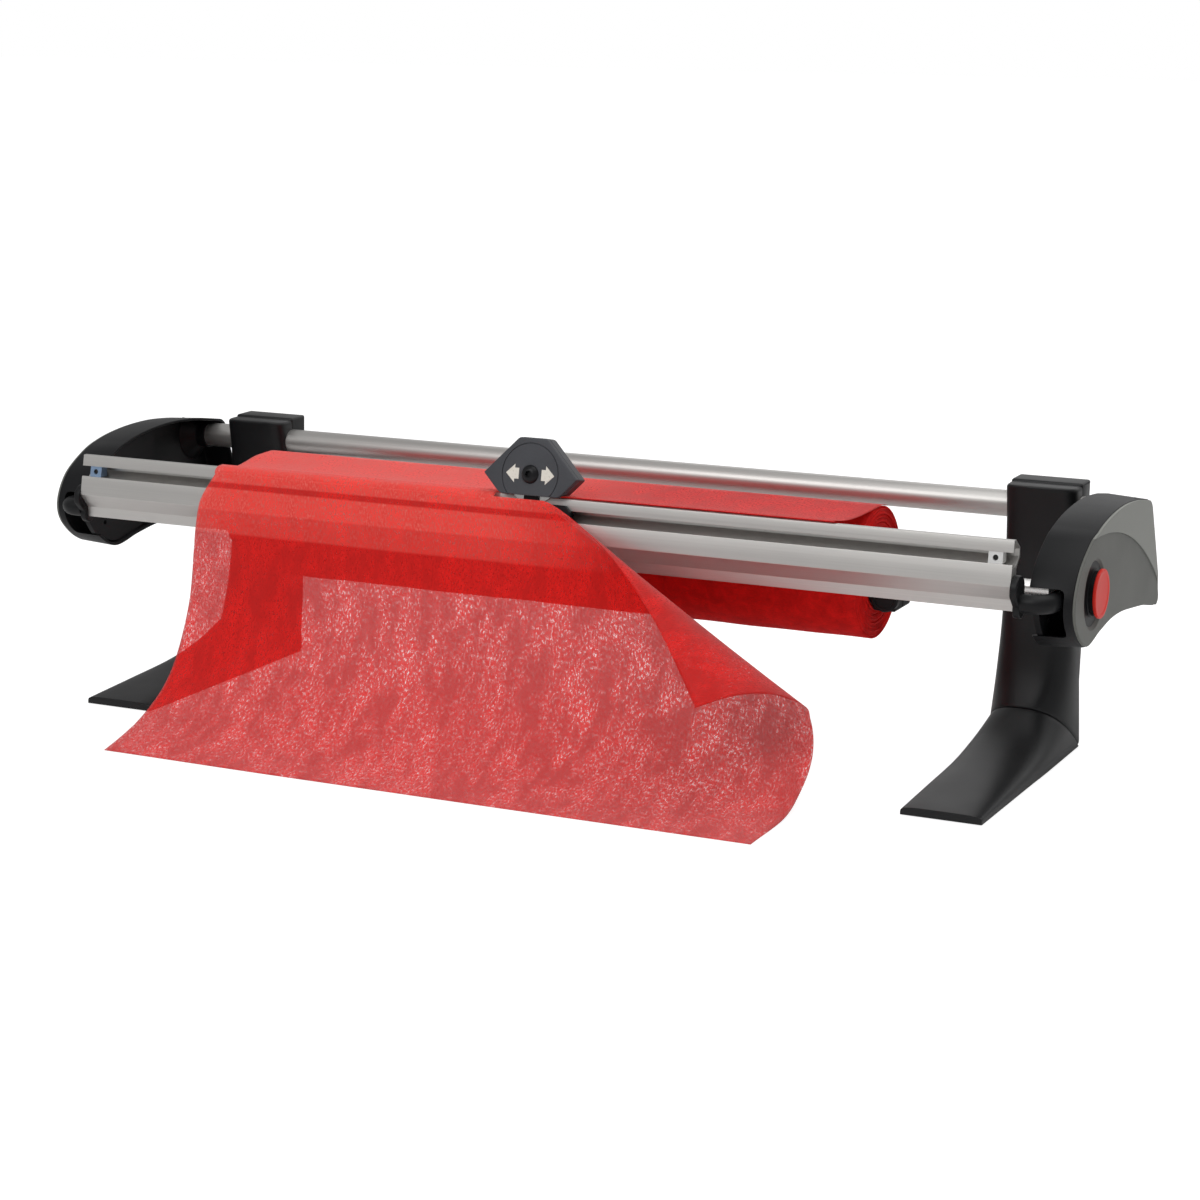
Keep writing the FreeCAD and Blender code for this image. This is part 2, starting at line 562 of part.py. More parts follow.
def head_front_cover():
    """Front half of the head: bevelled face, ring groove and arrow recesses."""
    cover = head_prism(HEAD_FRONT, PARTING, HEAD_BOTTOM)
    cover = cover.makeChamfer(0.9, edges_where(cover, lambda p: p.y < HEAD_FRONT + 0.01))
    ring = rod_y(30.4, HEAD_FRONT - 1, HEAD_FRONT + 1.0, CUTTER_X, BLADE_HEIGHT)
    cover = cover.cut(ring.cut(rod_y(29.2, HEAD_FRONT - 1, HEAD_FRONT + 1.0, CUTTER_X, BLADE_HEIGHT)))
    for side in (-1, 1):
        cover = cover.cut(arrow_prism(side, HEAD_FRONT - 1, HEAD_FRONT + ARROW_DEPTH, 0.1))
    cover = cover.cut(neck_pocket())
    return lean(cover.cut(rod_y(SCREW_SHANK_RADIUS, HEAD_FRONT - 1, PARTING, CUTTER_X, BLADE_HEIGHT)))


def head_rear_cover():
    """Rear half of the head, higher at the foot to clear the bar, with room for the blade."""
    shell = head_prism(PARTING, HEAD_REAR, HEAD_BOTTOM + 2.2)
    shell = shell.makeChamfer(1.0, edges_where(shell, lambda p: p.y > HEAD_REAR - 0.01))
    shell = shell.makeChamfer(0.6, edges_where(shell, lambda p: p.y < PARTING + 0.01 and p.z > HEAD_BOTTOM + 4))
    room_end = BLADE_MIDDLE + BLADE_THICKNESS / 2 + 0.8
    room = rod_y(BLADE_RADIUS + 1.5, PARTING, room_end, CUTTER_X, BLADE_HEIGHT)
    well = box(CUTTER_X - BLADE_RADIUS - 1.5, CUTTER_X + BLADE_RADIUS + 1.5, PARTING, room_end,
               HEAD_BOTTOM - 1, BLADE_HEIGHT)
    shell = shell.cut(room.fuse(well)).cut(neck_pocket())
    return lean(shell.cut(rod_y(SCREW_SHANK_RADIUS, PARTING, HEAD_REAR, CUTTER_X, BLADE_HEIGHT)))


def direction_arrows():
    """Two flat arrows let into the front cover."""
    return Part.makeCompound([lean(arrow_prism(side, HEAD_FRONT + 0.1, HEAD_FRONT + ARROW_DEPTH))
                              for side in (-1, 1)])


def blade_screw():
    """Domed socket screw through both covers, which is also the blade's axle."""
    height, top = SCREW_HEAD_HEIGHT, HEAD_FRONT - SCREW_HEAD_HEIGHT
    ball_radius = (SCREW_HEAD_RADIUS ** 2 + height ** 2) / (2 * height)
    ball = Part.makeSphere(ball_radius, V(CUTTER_X, top + ball_radius, BLADE_HEIGHT))
    head = ball.common(rod_y(SCREW_HEAD_RADIUS, top, HEAD_FRONT, CUTTER_X, BLADE_HEIGHT))
    corners = [math.radians(60 * k) for k in range(6)]
    socket = front_prism([(CUTTER_X + 3.4 * math.cos(a), BLADE_HEIGHT + 3.4 * math.sin(a)) for a in corners],
                         top - 1, top + 3)
    head = head.cut(socket)
    return lean(head.fuse(rod_y(SCREW_SHANK_RADIUS - 0.02, HEAD_FRONT, HEAD_REAR, CUTTER_X, BLADE_HEIGHT)))


def rotary_blade():
    """Thin round blade on a hub that is free to turn on the screw."""
    front = BLADE_MIDDLE - BLADE_THICKNESS / 2
    blade = rod_y(BLADE_RADIUS, front, front + BLADE_THICKNESS, CUTTER_X, BLADE_HEIGHT)
    blade = blade.fuse(rod_y(8.0, PARTING + FREE_GAP, front + BLADE_THICKNESS + 0.4, CUTTER_X, BLADE_HEIGHT))
    bore = rod_y(SCREW_SHANK_RADIUS + RUNNING_FIT, PARTING, HEAD_REAR, CUTTER_X, BLADE_HEIGHT)
    return lean(blade.cut(bore))


# --- roll of wrap ---------------------------------------------------------------------------
ROLL_LEFT = ROLL_CENTRE_X - ROLL_LENGTH / 2
ROLL_RIGHT = ROLL_CENTRE_X + ROLL_LENGTH / 2


def roll_ring(outer, inner, x0, x1):
    """Ring about the roll's axis."""
    return rod_x(outer, x0, x1, ROLL_Y, ROLL_Z).cut(rod_x(inner, x0, x1, ROLL_Y, ROLL_Z))


def core_plug(end, side):
    """Flanged plug in the core's end, bored to turn on the axle. side is +1 at the right."""
    flange = sorted([end, end + side * FLANGE_THICKNESS])
    spigot = sorted([end, end - side * SPIGOT_LENGTH])
    bore = AXLE_RADIUS + RUNNING_FIT
    plug = roll_ring(FLANGE_RADIUS, bore, flange[0], flange[1])
    return plug.fuse(roll_ring(CORE_RADIUS - CORE_WALL, bore, spigot[0], spigot[1])).removeSplitter()


def clamp_places(end, side):
    """Inner and outer X of the clamp block beside one end of the roll."""
    inner = end + side * (FLANGE_THICKNESS + FREE_GAP)
    return sorted([inner, inner + side * CLAMP_WIDTH])


def clamp_screw_x(end, side):
    """X of the clamp screw, off the block's middle so that the knob clears the core plug."""
    return sum(clamp_places(end, side)) / 2 + side * KNOB_OFFSET


def clamp_block(end, side):
    """Split block on the axle, ribbed in front, that keeps the roll in its place."""
    x0, x1 = clamp_places(end, side)
    front, rear = ROLL_Y - CLAMP_DEPTH / 2, ROLL_Y + CLAMP_DEPTH / 2
    block = box(x0, x1, front, rear, CLAMP_LOW_Z, CLAMP_HIGH_Z)
    block = block.makeFillet(3.0, edges_where(block, lambda p: abs(p.z - CLAMP_LOW_Z) < 0.01
                                              or abs(p.z - CLAMP_HIGH_Z) < 0.01))
    for k in range(4):
        groove_x = x0 + (k + 1) * CLAMP_WIDTH / 5
        block = block.cut(box(groove_x - 0.9, groove_x + 0.9, front, front + 1.5, CLAMP_LOW_Z, CLAMP_HIGH_Z))
    block = block.cut(rod_x(AXLE_RADIUS + RUNNING_FIT, x0, x1, ROLL_Y, ROLL_Z))
    block = block.cut(box(x0, x1, ROLL_Y - 1, ROLL_Y + 1, CLAMP_LOW_Z, ROLL_Z))
    screw_x = clamp_screw_x(end, side)
    return block.cut(rod_y(4.0 + RUNNING_FIT, front, rear - 6, screw_x, ROLL_Z - KNOB_DROP))


def clamp_knob(end, side):
    """Round knob with a ringed face and the clamp screw behind it."""
    middle, z = clamp_screw_x(end, side), ROLL_Z - KNOB_DROP
    rear = ROLL_Y - CLAMP_DEPTH / 2 - FREE_GAP
    front = rear - KNOB_THICKNESS
    knob = rod_y(KNOB_RADIUS, front, rear, middle, z)
    knob = knob.makeChamfer(1.2, edges_where(knob, lambda p: p.y < front + 0.01))
    ring = rod_y(10.0, front, front + 0.7, middle, z)
    knob = knob.cut(ring.cut(rod_y(9.0, front, front + 0.7, middle, z)))
    return knob.fuse(rod_y(4.0, rear, ROLL_Y + CLAMP_DEPTH / 2 - 7, middle, z)).removeSplitter()


# --- legs -----------------------------------------------------------------------------------
def leg_section(base_y, base_z, crown_y, crown_z, width, squareness, flats):
    """D-shaped wire of short flats: a base along X and a bow from end to end of it over the
    crown. Squareness 2 makes the bow an ellipse, more brings it nearer to a rectangle."""
    base, crown = V(LEG_CENTRE_X, base_y, base_z), V(LEG_CENTRE_X, crown_y, crown_z)
    points = []
    for k in range(flats + 1):
        cosine, sine = math.cos(math.pi * k / flats), math.sin(math.pi * k / flats)
        across = math.copysign(abs(cosine) ** (2 / squareness), cosine) * width / 2
        points.append(base + V(across, 0, 0) + (crown - base) * abs(sine) ** (2 / squareness))
    return Part.makePolygon(points + [points[0]])


def leg_loft(keys, flats):
    """Solid through leg sections, smooth from the first to the last."""
    return Part.makeLoft([leg_section(*row, flats) for row in keys], True, False)


MITRE_CROWN_Y = -63.0
MITRE_CROWN_Z = 50.0
TOE_Y = -292.0


def whole_column():
    """Upright in front of the back shell, down to the slanted parting plane."""
    top = LEG_TOP_WIDTH
    keys = [(0, LEG_TOP_Z, -24.0, LEG_TOP_Z, top, 6.5),
            (0, LEG_TOP_Z - 41, -18.0, LEG_TOP_Z - 41, top, 6.0),
            (0, 165, -21.0, 165, top, 4.5),
            (0, 120, -29.0, 120, top + 3, 3.4),
            (0, 80, -42.0, 80, top + 7, 2.9),
            (0, PAD_HEIGHT, MITRE_CROWN_Y, MITRE_CROWN_Z, top + 13, 2.6)]
    return leg_loft(keys, 16)


def whole_foot():
    """Foot from the parting plane to its low front end, with the front edge bevelled."""
    sole = PAD_HEIGHT
    top = LEG_TOP_WIDTH
    keys = [(0, sole, MITRE_CROWN_Y, MITRE_CROWN_Z, top + 13, 2.6),
            (-100, sole, -100, 31, top + 12, 2.8),
            (-150, sole, -150, 20, top + 10, 3.2),
            (-220, sole, -220, 14, top + 8, 4.0),
            (TOE_Y, sole, TOE_Y, 9, top + 6, 5.0)]
    foot = leg_loft(keys, 16)
    bevel = side_prism([(TOE_Y - 5, sole - 1), (TOE_Y, sole + 1.5), (TOE_Y + 6, 12), (TOE_Y - 5, 12)],
                       LEG_LEFT, LEG_RIGHT)
    return foot.cut(bevel)


def column_pocket():
    """Room inside the upright, open to the back shell and crossed by level ribs."""
    wall = LEG_WALL
    inner = LEG_TOP_WIDTH - 2 * wall
    keys = [(1, TUBE_Z - 33, -19.5 + wall, TUBE_Z - 33, inner, 4.5),
            (1, 165, -21.0 + wall, 165, inner, 4.0),
            (1, 120, -29.0 + wall, 120, inner + 3, 3.2),
            (1, 80, -42.0 + wall, 80, inner + 7, 2.8),
            (1, 12, MITRE_CROWN_Y + 10, MITRE_CROWN_Z + 4, inner + 12, 2.5)]
    pocket = leg_loft(keys, 10)
    for z in (85, 125, 165):
        pocket = pocket.cut(box(LEG_LEFT, LEG_RIGHT, -80, 10, z, z + RIB_THICKNESS))
    return pocket


def leg_column():
    """Front half of the tube clamp and the upright below it, a shell open to the rear."""
    column = whole_column().cut(column_pocket())
    column = column.cut(rod_x(TUBE_RADIUS + SEAT_FIT, LEG_LEFT, LEG_RIGHT, 0, TUBE_Z))
    for x in clamp_screw_places():
        column = column.cut(rod_y(CLAMP_SCREW_RADIUS + 0.02, -CLAMP_SCREW_GRIP, 1, x, TUBE_Z - 24))
    return column


def pad_places():
    """Centres of the pads under one foot."""
    return [(LEG_CENTRE_X - 24, TOE_Y + 30), (LEG_CENTRE_X + 24, TOE_Y + 30), (LEG_CENTRE_X, -32)]


def foot_pocket():
    """Room below the foot's upper skin, crossed by ribs and bosses for the pads."""
    wall = LEG_WALL
    inner = LEG_TOP_WIDTH - 2 * wall
    keys = [(-16, 0, -62, 46 - wall, inner + 12, 2.5),
            (-100, 0, -100, 31 - wall, inner + 12, 2.7),
            (-150, 0, -150, 20 - wall, inner + 10, 3.0),
            (-220, 0, -220, 14 - wall, inner + 8, 3.5),
            (TOE_Y + 9, 0, TOE_Y + 9, 9 - wall, inner + 6, 4.0)]
    pocket = leg_loft(keys, 10)
    for y in (-210, -160, -110, -70):
        pocket = pocket.cut(box(LEG_LEFT, LEG_RIGHT, y, y + RIB_THICKNESS, -1, 80))
    for x, y in pad_places():
        pocket = pocket.cut(Part.makeCylinder(PAD_RADIUS + RIB_THICKNESS, 80, V(x, y, -1)))
    return pocket


def toe():
    """Foot in front of the parting plane, hollow below, with recesses for its pads."""
    foot = whole_foot().cut(foot_pocket())
    for x, y in pad_places():
        foot = foot.cut(Part.makeCylinder(PAD_RADIUS + SEAT_FIT, PAD_HEIGHT + PAD_RECESS, V(x, y, 0)))
    return foot


def foot_pads():
    """Round rubber pads, the only faces that touch the counter."""
    return Part.makeCompound([Part.makeCylinder(PAD_RADIUS, PAD_HEIGHT + PAD_RECESS, V(x, y, 0))
                              for x, y in pad_places()])


def back_shell():
    """Rear half of the tube clamp, tapering to a thin plate down the back of the upright."""
    half = LEG_TOP_WIDTH / 2
    x0, x1 = LEG_CENTRE_X - half, LEG_CENTRE_X + half
    top = LEG_TOP_Z + BACK_SHELL_RISE
    outline = [(0, top), (BACK_SHELL_DEPTH, top), (BACK_SHELL_DEPTH, TUBE_Z - 34), (15, 110), (7, 22),
               (7, 5), (0, 5)]
    shell = side_prism(outline, x0, x1)
    shell = shell.makeFillet(4.0, edges_where(shell, lambda p: p.y > BACK_SHELL_DEPTH - 0.01 and p.z > 200))
    shell = shell.cut(rod_x(TUBE_RADIUS + SEAT_FIT, x0, x1, 0, TUBE_Z))
    wall = LEG_WALL
    room = side_prism([(-1, TUBE_Z - 34), (BACK_SHELL_DEPTH - wall, TUBE_Z - 34), (15 - wall, 110),
                       (7 - wall, 26), (-1, 26)], x0 + wall, x1 - wall)
    shell = shell.cut(room)
    for x in clamp_screw_places():
        shell = shell.cut(rod_y(CLAMP_SCREW_RADIUS + 0.02, 0, 60, x, TUBE_Z - 24))
    return shell


def clamp_screw_places():
    """X of the two screws that draw the clamp halves together."""
    return [LEG_CENTRE_X - 20, LEG_CENTRE_X + 20]


def clamp_screws():
    """Through the back shell, below the tube, into the column."""
    return Part.makeCompound([rod_y(CLAMP_SCREW_RADIUS, -CLAMP_SCREW_GRIP, BACK_SHELL_DEPTH, x, TUBE_Z - 24)
                              for x in clamp_screw_places()])


# --- sheet ----------------------------------------------------------------------------------
def ribbon(points, x):
    """Closed wire in the plane x: a thin band about a line of (y, z) points."""
    half = SHEET_THICKNESS / 2
    front, back = [], []
    last = len(points) - 1
    for k, (y, z) in enumerate(points):
        y0, z0 = points[max(k - 1, 0)]
        y1, z1 = points[min(k + 1, last)]
        length = math.hypot(y1 - y0, z1 - z0)
        ny, nz = (z1 - z0) / length * half, -(y1 - y0) / length * half
        front.append(V(x, y + ny, z + nz))
        back.append(V(x, y - ny, z - nz))
    return polygon(front + back[::-1])


HANG_FULL = [(SHEET_FRONT_Y, 1), (-385, 13), (-335, 43), (-309, 76), (-293, 120), (-283, 165),
             (-277.5, 215), (-274.5, 252)]
HANG_CUT = [(-432, 1), (-353, 3.5), (-313, 18), (-288, 36), (-279, 56), (-281, 72), (-287, 83), (-296, 88)]
FLAP_START = (-277.5, 251.0)
FLAP_CORNER = (-398.0, 109.0)
FLAP_END = (-302.0, 88.0)
SHEET_RIGHT = ROLL_RIGHT - 9


def part_way(a, b, share):
    """Point (y, z) on the line from a to b."""
    return (a[0] + (b[0] - a[0]) * share, a[1] + (b[1] - a[1]) * share)


def hang_at(x):
    """Line of the cut sheet at x: up from the counter to the crest of the fold, then along
    the flap to its cut edge or, right of the corner, to its side edge."""
    share = max(x - FOLD_X, 0) / (SHEET_RIGHT - FOLD_X)
    line = [part_way(a, b, share) for a, b in zip(HANG_FULL, HANG_CUT)]
    crest = line[-1]
    if x < FOLD_X:
        return line + [(crest[0] + 0.6, crest[1] + 2), (crest[0] + 1.6, crest[1] + 4)]
    if x < FLAP_X:
        tip = part_way(FLAP_START, FLAP_CORNER, (x - FOLD_X) / (FLAP_X - FOLD_X))
    else:
        tip = part_way(FLAP_CORNER, FLAP_END, (x - FLAP_X) / (SHEET_RIGHT - FLAP_X))
    middle = part_way(crest, tip, 0.5)
    return line + [(middle[0], middle[1] + abs(tip[0] - crest[0]) * 0.06), tip]


def paper_sheet():
    """Sheet of wrap: off the top of the roll, over the bar and down to the counter. Right
    of the cutter it has been cut, and its top folds forward as a hanging flap."""
    over = ROLL_RADIUS + 2 * FREE_GAP + SHEET_THICKNESS / 2
    on_roll = [(ROLL_Y + over * math.cos(math.radians(a)), ROLL_Z + over * math.sin(math.radians(a)))
               for a in (87, 75)]
    bar_line = [(-270.5, 257.4), (-264, BAR_TOP_Z + 1.6), (-257, BAR_TOP_Z + 1.6)]
    whole = Part.Face(ribbon(HANG_FULL + bar_line + on_roll, ROLL_LEFT))
    whole = whole.extrude(V(SHEET_CUT_X - ROLL_LEFT, 0, 0))
    stations = [SHEET_CUT_X, FOLD_X - 1, FOLD_X + 10, 110, 180, FLAP_X, 285, SHEET_RIGHT]
    cut = Part.makeLoft([ribbon(hang_at(x), x) for x in stations], True, True)
    return whole.fuse(cut)


# --- build ----------------------------------------------------------------------------------
tube_end = WEB_IN - 0.5
tube = rod_x(TUBE_RADIUS, -tube_end, tube_end, 0, TUBE_Z)
add("rear_tube", tube.cut(rod_x(TUBE_RADIUS - TUBE_WALL, -tube_end, tube_end, 0, TUBE_Z)))
axle_end = HOUSING_IN + PANEL_THICKNESS + 5
add("roll_axle", rod_x(AXLE_RADIUS, -axle_end, axle_end, ROLL_Y, ROLL_Z))

add_pair("leg_column", leg_column())
add_pair("toe", toe())
add_pair("back_shell", back_shell())
add_pair("clamp_screws", clamp_screws())
add_pair("foot_pads", foot_pads())

add_pair("side_housing", side_housing())
add_pair("side_plate", side_plate())
add_pair("inner_panel", inner_panel())
add_pair("pivot_pin", pivot_pin())
add_pair("button_sleeve", button_sleeve())
add_pair("button_cap", button_cap())
add_pair("button_skirt", button_skirt())
add_pair("button_spring", button_spring())

add("cutting_bar", cutting_bar())
add_pair("bar_lug", bar_lug())
add_pair("crank_arm", crank_arm())
add_pair("stop_nut", stop_nut())
add("stop_grub_screws", stop_grub_screws())

add("carriage_shoe", carriage_shoe())
add("slot_slider", slot_slider())
add("shoe_screws", shoe_screws())
add("head_front_cover", head_front_cover())
add("head_rear_cover", head_rear_cover())
add("direction_arrows", direction_arrows())
add("blade_screw", blade_screw())
add("rotary_blade", rotary_blade())

add("core_tube", roll_ring(CORE_RADIUS, CORE_RADIUS - CORE_WALL, ROLL_LEFT, ROLL_RIGHT))
add("wound_roll", roll_ring(ROLL_RADIUS, CORE_RADIUS, ROLL_LEFT, ROLL_RIGHT))
for hand, roll_end, way in (("left_", ROLL_LEFT, -1), ("right_", ROLL_RIGHT, 1)):
    add(hand + "core_plug", core_plug(roll_end, way))
    add(hand + "clamp_block", clamp_block(roll_end, way))
    add(hand + "clamp_knob", clamp_knob(roll_end, way))
add("paper_sheet", paper_sheet())

save()
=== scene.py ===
"""Counter-top gift wrap cutter: legs, side housings, slotted bar, cutter head, roll and sheet.

Lengths are metres unless a name ends in _MM. X runs along the bar, Z up from the counter and
-Y towards the user. Outlines of moulded pieces are given in millimetres from the rear tube's
axis, as (y, height), and section() brings them into the shared frame.
"""
import math

import bmesh
import bpy
import numpy as np
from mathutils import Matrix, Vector


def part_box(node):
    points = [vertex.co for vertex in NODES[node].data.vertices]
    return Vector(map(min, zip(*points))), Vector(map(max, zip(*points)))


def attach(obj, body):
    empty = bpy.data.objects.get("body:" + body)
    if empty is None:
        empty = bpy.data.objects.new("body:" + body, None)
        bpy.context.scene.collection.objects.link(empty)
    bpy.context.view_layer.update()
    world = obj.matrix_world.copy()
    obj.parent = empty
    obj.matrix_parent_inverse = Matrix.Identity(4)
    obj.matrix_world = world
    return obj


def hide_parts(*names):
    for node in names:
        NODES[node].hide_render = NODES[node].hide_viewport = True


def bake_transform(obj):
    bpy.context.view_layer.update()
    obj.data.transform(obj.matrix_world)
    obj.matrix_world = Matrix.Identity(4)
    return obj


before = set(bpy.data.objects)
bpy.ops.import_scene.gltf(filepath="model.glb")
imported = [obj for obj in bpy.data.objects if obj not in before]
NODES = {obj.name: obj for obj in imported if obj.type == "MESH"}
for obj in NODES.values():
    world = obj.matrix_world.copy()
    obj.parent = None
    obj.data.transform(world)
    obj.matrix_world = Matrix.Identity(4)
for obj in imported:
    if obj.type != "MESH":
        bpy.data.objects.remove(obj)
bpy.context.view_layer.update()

bl_info = {
    "name": "Gift Wrap Cutter",
    "version": (1, 0, 0),
    "blender": (4, 5, 0),
    "location": "View3D > Sidebar > Gift Wrap",
    "description": "Builds a counter-top gift wrap cutter round its packed frame",
    "category": "Object",
}

MM = 0.001
SIDES = (("right", 1), ("left", -1))


def middle(node):
    """Middle of a node's box."""
    low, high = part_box(node)
    return (low + high) / 2


TUBE = middle("rear_tube")
PIVOT = middle("right_pivot_pin")
PLATE_LOW, PLATE_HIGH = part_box("right_side_plate")
HOUSING_LOW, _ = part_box("right_side_housing")
COLUMN_LOW, COLUMN_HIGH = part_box("right_leg_column")
SHELL_LOW, SHELL_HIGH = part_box("right_back_shell")
LUG_LOW, LUG_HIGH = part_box("right_bar_lug")
CAP_LOW, CAP_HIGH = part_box("right_button_cap")
BAR_LOW, BAR_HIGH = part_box("cutting_bar")
ROLL_LOW, ROLL_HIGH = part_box("wound_roll")
CORE_LOW, CORE_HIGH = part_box("core_tube")


# --- settings ---
class StandSettings(bpy.types.PropertyGroup):
    """Colours of the stand and the bar."""

    black: bpy.props.FloatVectorProperty(
        name="Moulded black", description="Colour of the legs, housings and cutter head",
        subtype="COLOR", size=3, min=0, max=1, default=(0.0060, 0.0062, 0.0070))
    lid_grey: bpy.props.FloatVectorProperty(
        name="Lid grey", description="Colour of the lids on the side housings",
        subtype="COLOR", size=3, min=0, max=1, default=(0.138, 0.140, 0.128))
    button_red: bpy.props.FloatVectorProperty(
        name="Button red", description="Colour of the push buttons",
        subtype="COLOR", size=3, min=0, max=1, default=(0.70, 0.028, 0.018))
    aluminium: bpy.props.FloatVectorProperty(
        name="Anodised aluminium", description="Colour of the bar and the rear tube",
        subtype="COLOR", size=3, min=0, max=1, default=(0.60, 0.585, 0.565))
    edge: bpy.props.FloatProperty(
        name="Moulded edge", description="Radius on the edges of moulded pieces",
        unit="LENGTH", min=0.0, max=0.004, default=0.0012)


class WrapSettings(bpy.types.PropertyGroup):
    """Colours of the non-woven wrap and how dense it is."""

    red: bpy.props.FloatVectorProperty(
        name="Wrap red", description="Colour of the wrap's fibres",
        subtype="COLOR", size=3, min=0, max=1, default=(0.92, 0.014, 0.011))
    deep_red: bpy.props.FloatVectorProperty(
        name="Wound red", description="Colour of many layers of wrap",
        subtype="COLOR", size=3, min=0, max=1, default=(0.56, 0.006, 0.006))
    cover: bpy.props.FloatProperty(
        name="Cover", description="How much of the light each skin of the wrap stops",
        subtype="FACTOR", min=0.2, max=1.0, default=0.785)
    thickness: bpy.props.FloatProperty(
        name="Thickness", description="Thickness of one layer of wrap",
        unit="LENGTH", min=0.0001, max=0.001, default=0.0004)


class StageSettings(bpy.types.PropertyGroup):
    """Lamps and backdrop."""

    backdrop: bpy.props.FloatProperty(
        name="Backdrop", description="Brightness of the backdrop, as the camera sees it",
        subtype="FACTOR", min=0.0, max=1.0, default=1.0)
    key_power: bpy.props.FloatProperty(
        name="Key lamp", description="Power of the large lamp above the front",
        unit="POWER", min=0.0, max=500.0, default=30.0)
    top_power: bpy.props.FloatProperty(
        name="Top lamp", description="Power of the large lamp overhead",
        unit="POWER", min=0.0, max=500.0, default=26.0)
    rear_power: bpy.props.FloatProperty(
        name="Rear lamp", description="Power of the long lamp behind and above",
        unit="POWER", min=0.0, max=500.0, default=17.0)


# --- shader maths ---
class Socket:
    """An output whose arithmetic adds Math nodes to its finish."""

    def __init__(self, finish, output):
        self.finish = finish
        self.output = output

    def _math(self, operation, a, b):
        """Math node on two values or links."""
        return self.finish.node("ShaderNodeMath", {"operation": operation}, {0: a, 1: b})

    def __add__(self, other):
        return self._math("ADD", self, other)

    def __radd__(self, other):
        return self._math("ADD", other, self)

    def __sub__(self, other):
        return self._math("SUBTRACT", self, other)

    def __rsub__(self, other):
        return self._math("SUBTRACT", other, self)

    def __mul__(self, other):
        return self._math("MULTIPLY", self, other)

    def __rmul__(self, other):
        return self._math("MULTIPLY", other, self)

    def __pow__(self, other):
        return self._math("POWER", self, other)


class Finish:
    """One procedural material while it is put together."""

    def __init__(self, name):
        self.material = bpy.data.materials.new(name)
        self.material.use_nodes = True
        self.tree = self.material.node_tree
        self.shader = next(n for n in self.tree.nodes if n.type == "BSDF_PRINCIPLED")

    def node(self, kind, settings=None, inputs=None, output=0):
        """New node with its settings, then its values or links."""
        made = self.tree.nodes.new(kind)
        for key, value in (settings or {}).items():
            setattr(made, key, value)
        for key, value in (inputs or {}).items():
            self._feed(made.inputs[key], value)
        return Socket(self, made.outputs[output])

    def _feed(self, socket, value):
        """Set an input to a value, or link it."""
        if isinstance(value, Socket):
            self.tree.links.new(value.output, socket)
        elif hasattr(value, "__len__") and len(value) == 3 and socket.type == "RGBA":
            socket.default_value = (*value, 1.0)
        else:
            socket.default_value = value

    def place(self, scale, source="Object"):
        """Coordinates of the piece, or of its UV map, scaled to the pattern."""
        where = self.node("ShaderNodeTexCoord", output=source)
        return self.node("ShaderNodeMapping", inputs={"Vector": where, "Scale": scale})

    def axes(self):
        """The piece's own X, Y and Z, as three values."""
        split = self.node("ShaderNodeSeparateXYZ", inputs={"Vector": self.place((1, 1, 1))})
        return [Socket(self, output) for output in split.output.node.outputs]

    def noise(self, vector, scale, detail=3.0, roughness=0.55, distortion=0.0):
        """Grey noise about 0.5."""
        return self.node("ShaderNodeTexNoise", inputs={
            "Vector": vector, "Scale": scale, "Detail": detail, "Roughness": roughness,
            "Distortion": distortion})

    def band(self, value, low, high):
        """Value mapped so that low becomes 0 and high becomes 1, clamped."""
        return self.node("ShaderNodeMapRange", inputs={"Value": value, "From Min": low, "From Max": high})

    def mix(self, factor, a, b):
        """Colour a where the factor is 0 and b where it is 1."""
        return self.node("ShaderNodeMix", {"data_type": "RGBA"}, {0: factor, 6: a, 7: b}, 2)

    def bump(self, height, strength, distance):
        """Bump from a height, for the shader's Normal."""
        return self.node("ShaderNodeBump", inputs={
            "Height": height, "Strength": strength, "Distance": distance})

    def surface(self, **inputs):
        """Values and links of the shader, with underscores for spaces. Returns the material."""
        for key, value in inputs.items():
            self._feed(self.shader.inputs[key.replace("_", " ")], value)
        return self.material


def spark_grain(f):
    """Grit, soft clouds, and the flecks that the two make, on a moulded face."""
    where = f.place((1, 1, 1))
    grit = f.noise(where, 1900, 2)
    cloud = f.noise(where, 17, 3)
    return grit, cloud, f.band(cloud * 0.7 + grit * 0.3, 0.35, 0.7)


def moulded(name, colour, roughness, grain=0.10, gloss=0.22):
    """Moulded plastic: fine spark grain, faint cloudy changes of gloss."""
    f = Finish(name)
    grit, cloud, fleck = spark_grain(f)
    lighter = [min(1.0, c * 1.35 + 0.002) for c in colour]
    return f.surface(
        Base_Color=f.mix(fleck, colour, lighter),
        Roughness=f.band(cloud, 0.2, 0.8) * 0.10 + (roughness - 0.05) + grit * 0.06,
        Specular_IOR_Level=gloss,
        Normal=f.bump(grit, grain, 0.0002))


def stepped_lid(name, colour, centre, radius):
    """Spark-eroded lid: the crescent outside a circle of this radius about the X axis
    through the centre is smoother than the face inside it and painted paler, a painted
    highlight; the face inside it is painted darker towards the circle, a painted shade."""
    f = Finish(name)
    grit, _, fleck = spark_grain(f)
    _, y, z = f.axes()
    y, z = y - centre[0], z - centre[1]
    reach = (y * y + z * z) ** 0.5
    crescent = f.band(reach, radius - 0.0002, radius + 0.0002)
    # Painted shade: the face inside the circle darkens towards it; the crescent gets a painted highlight,
    # whose colour also serves the flecks
    near = f.band(reach, radius - 0.15, radius) * (1.0 - crescent)
    painted_highlight_and_fleck, darker = [c * 1.75 for c in colour], [c * 0.86 for c in colour]
    tone = f.mix(crescent, f.mix(near, colour, darker), painted_highlight_and_fleck)
    return f.surface(
        Base_Color=f.mix(fleck * 0.25, tone, painted_highlight_and_fleck),
        Roughness=0.44 - 0.08 * crescent + grit * 0.06,
        Specular_IOR_Level=0.2,
        Normal=f.bump(grit, 0.14, 0.0002))


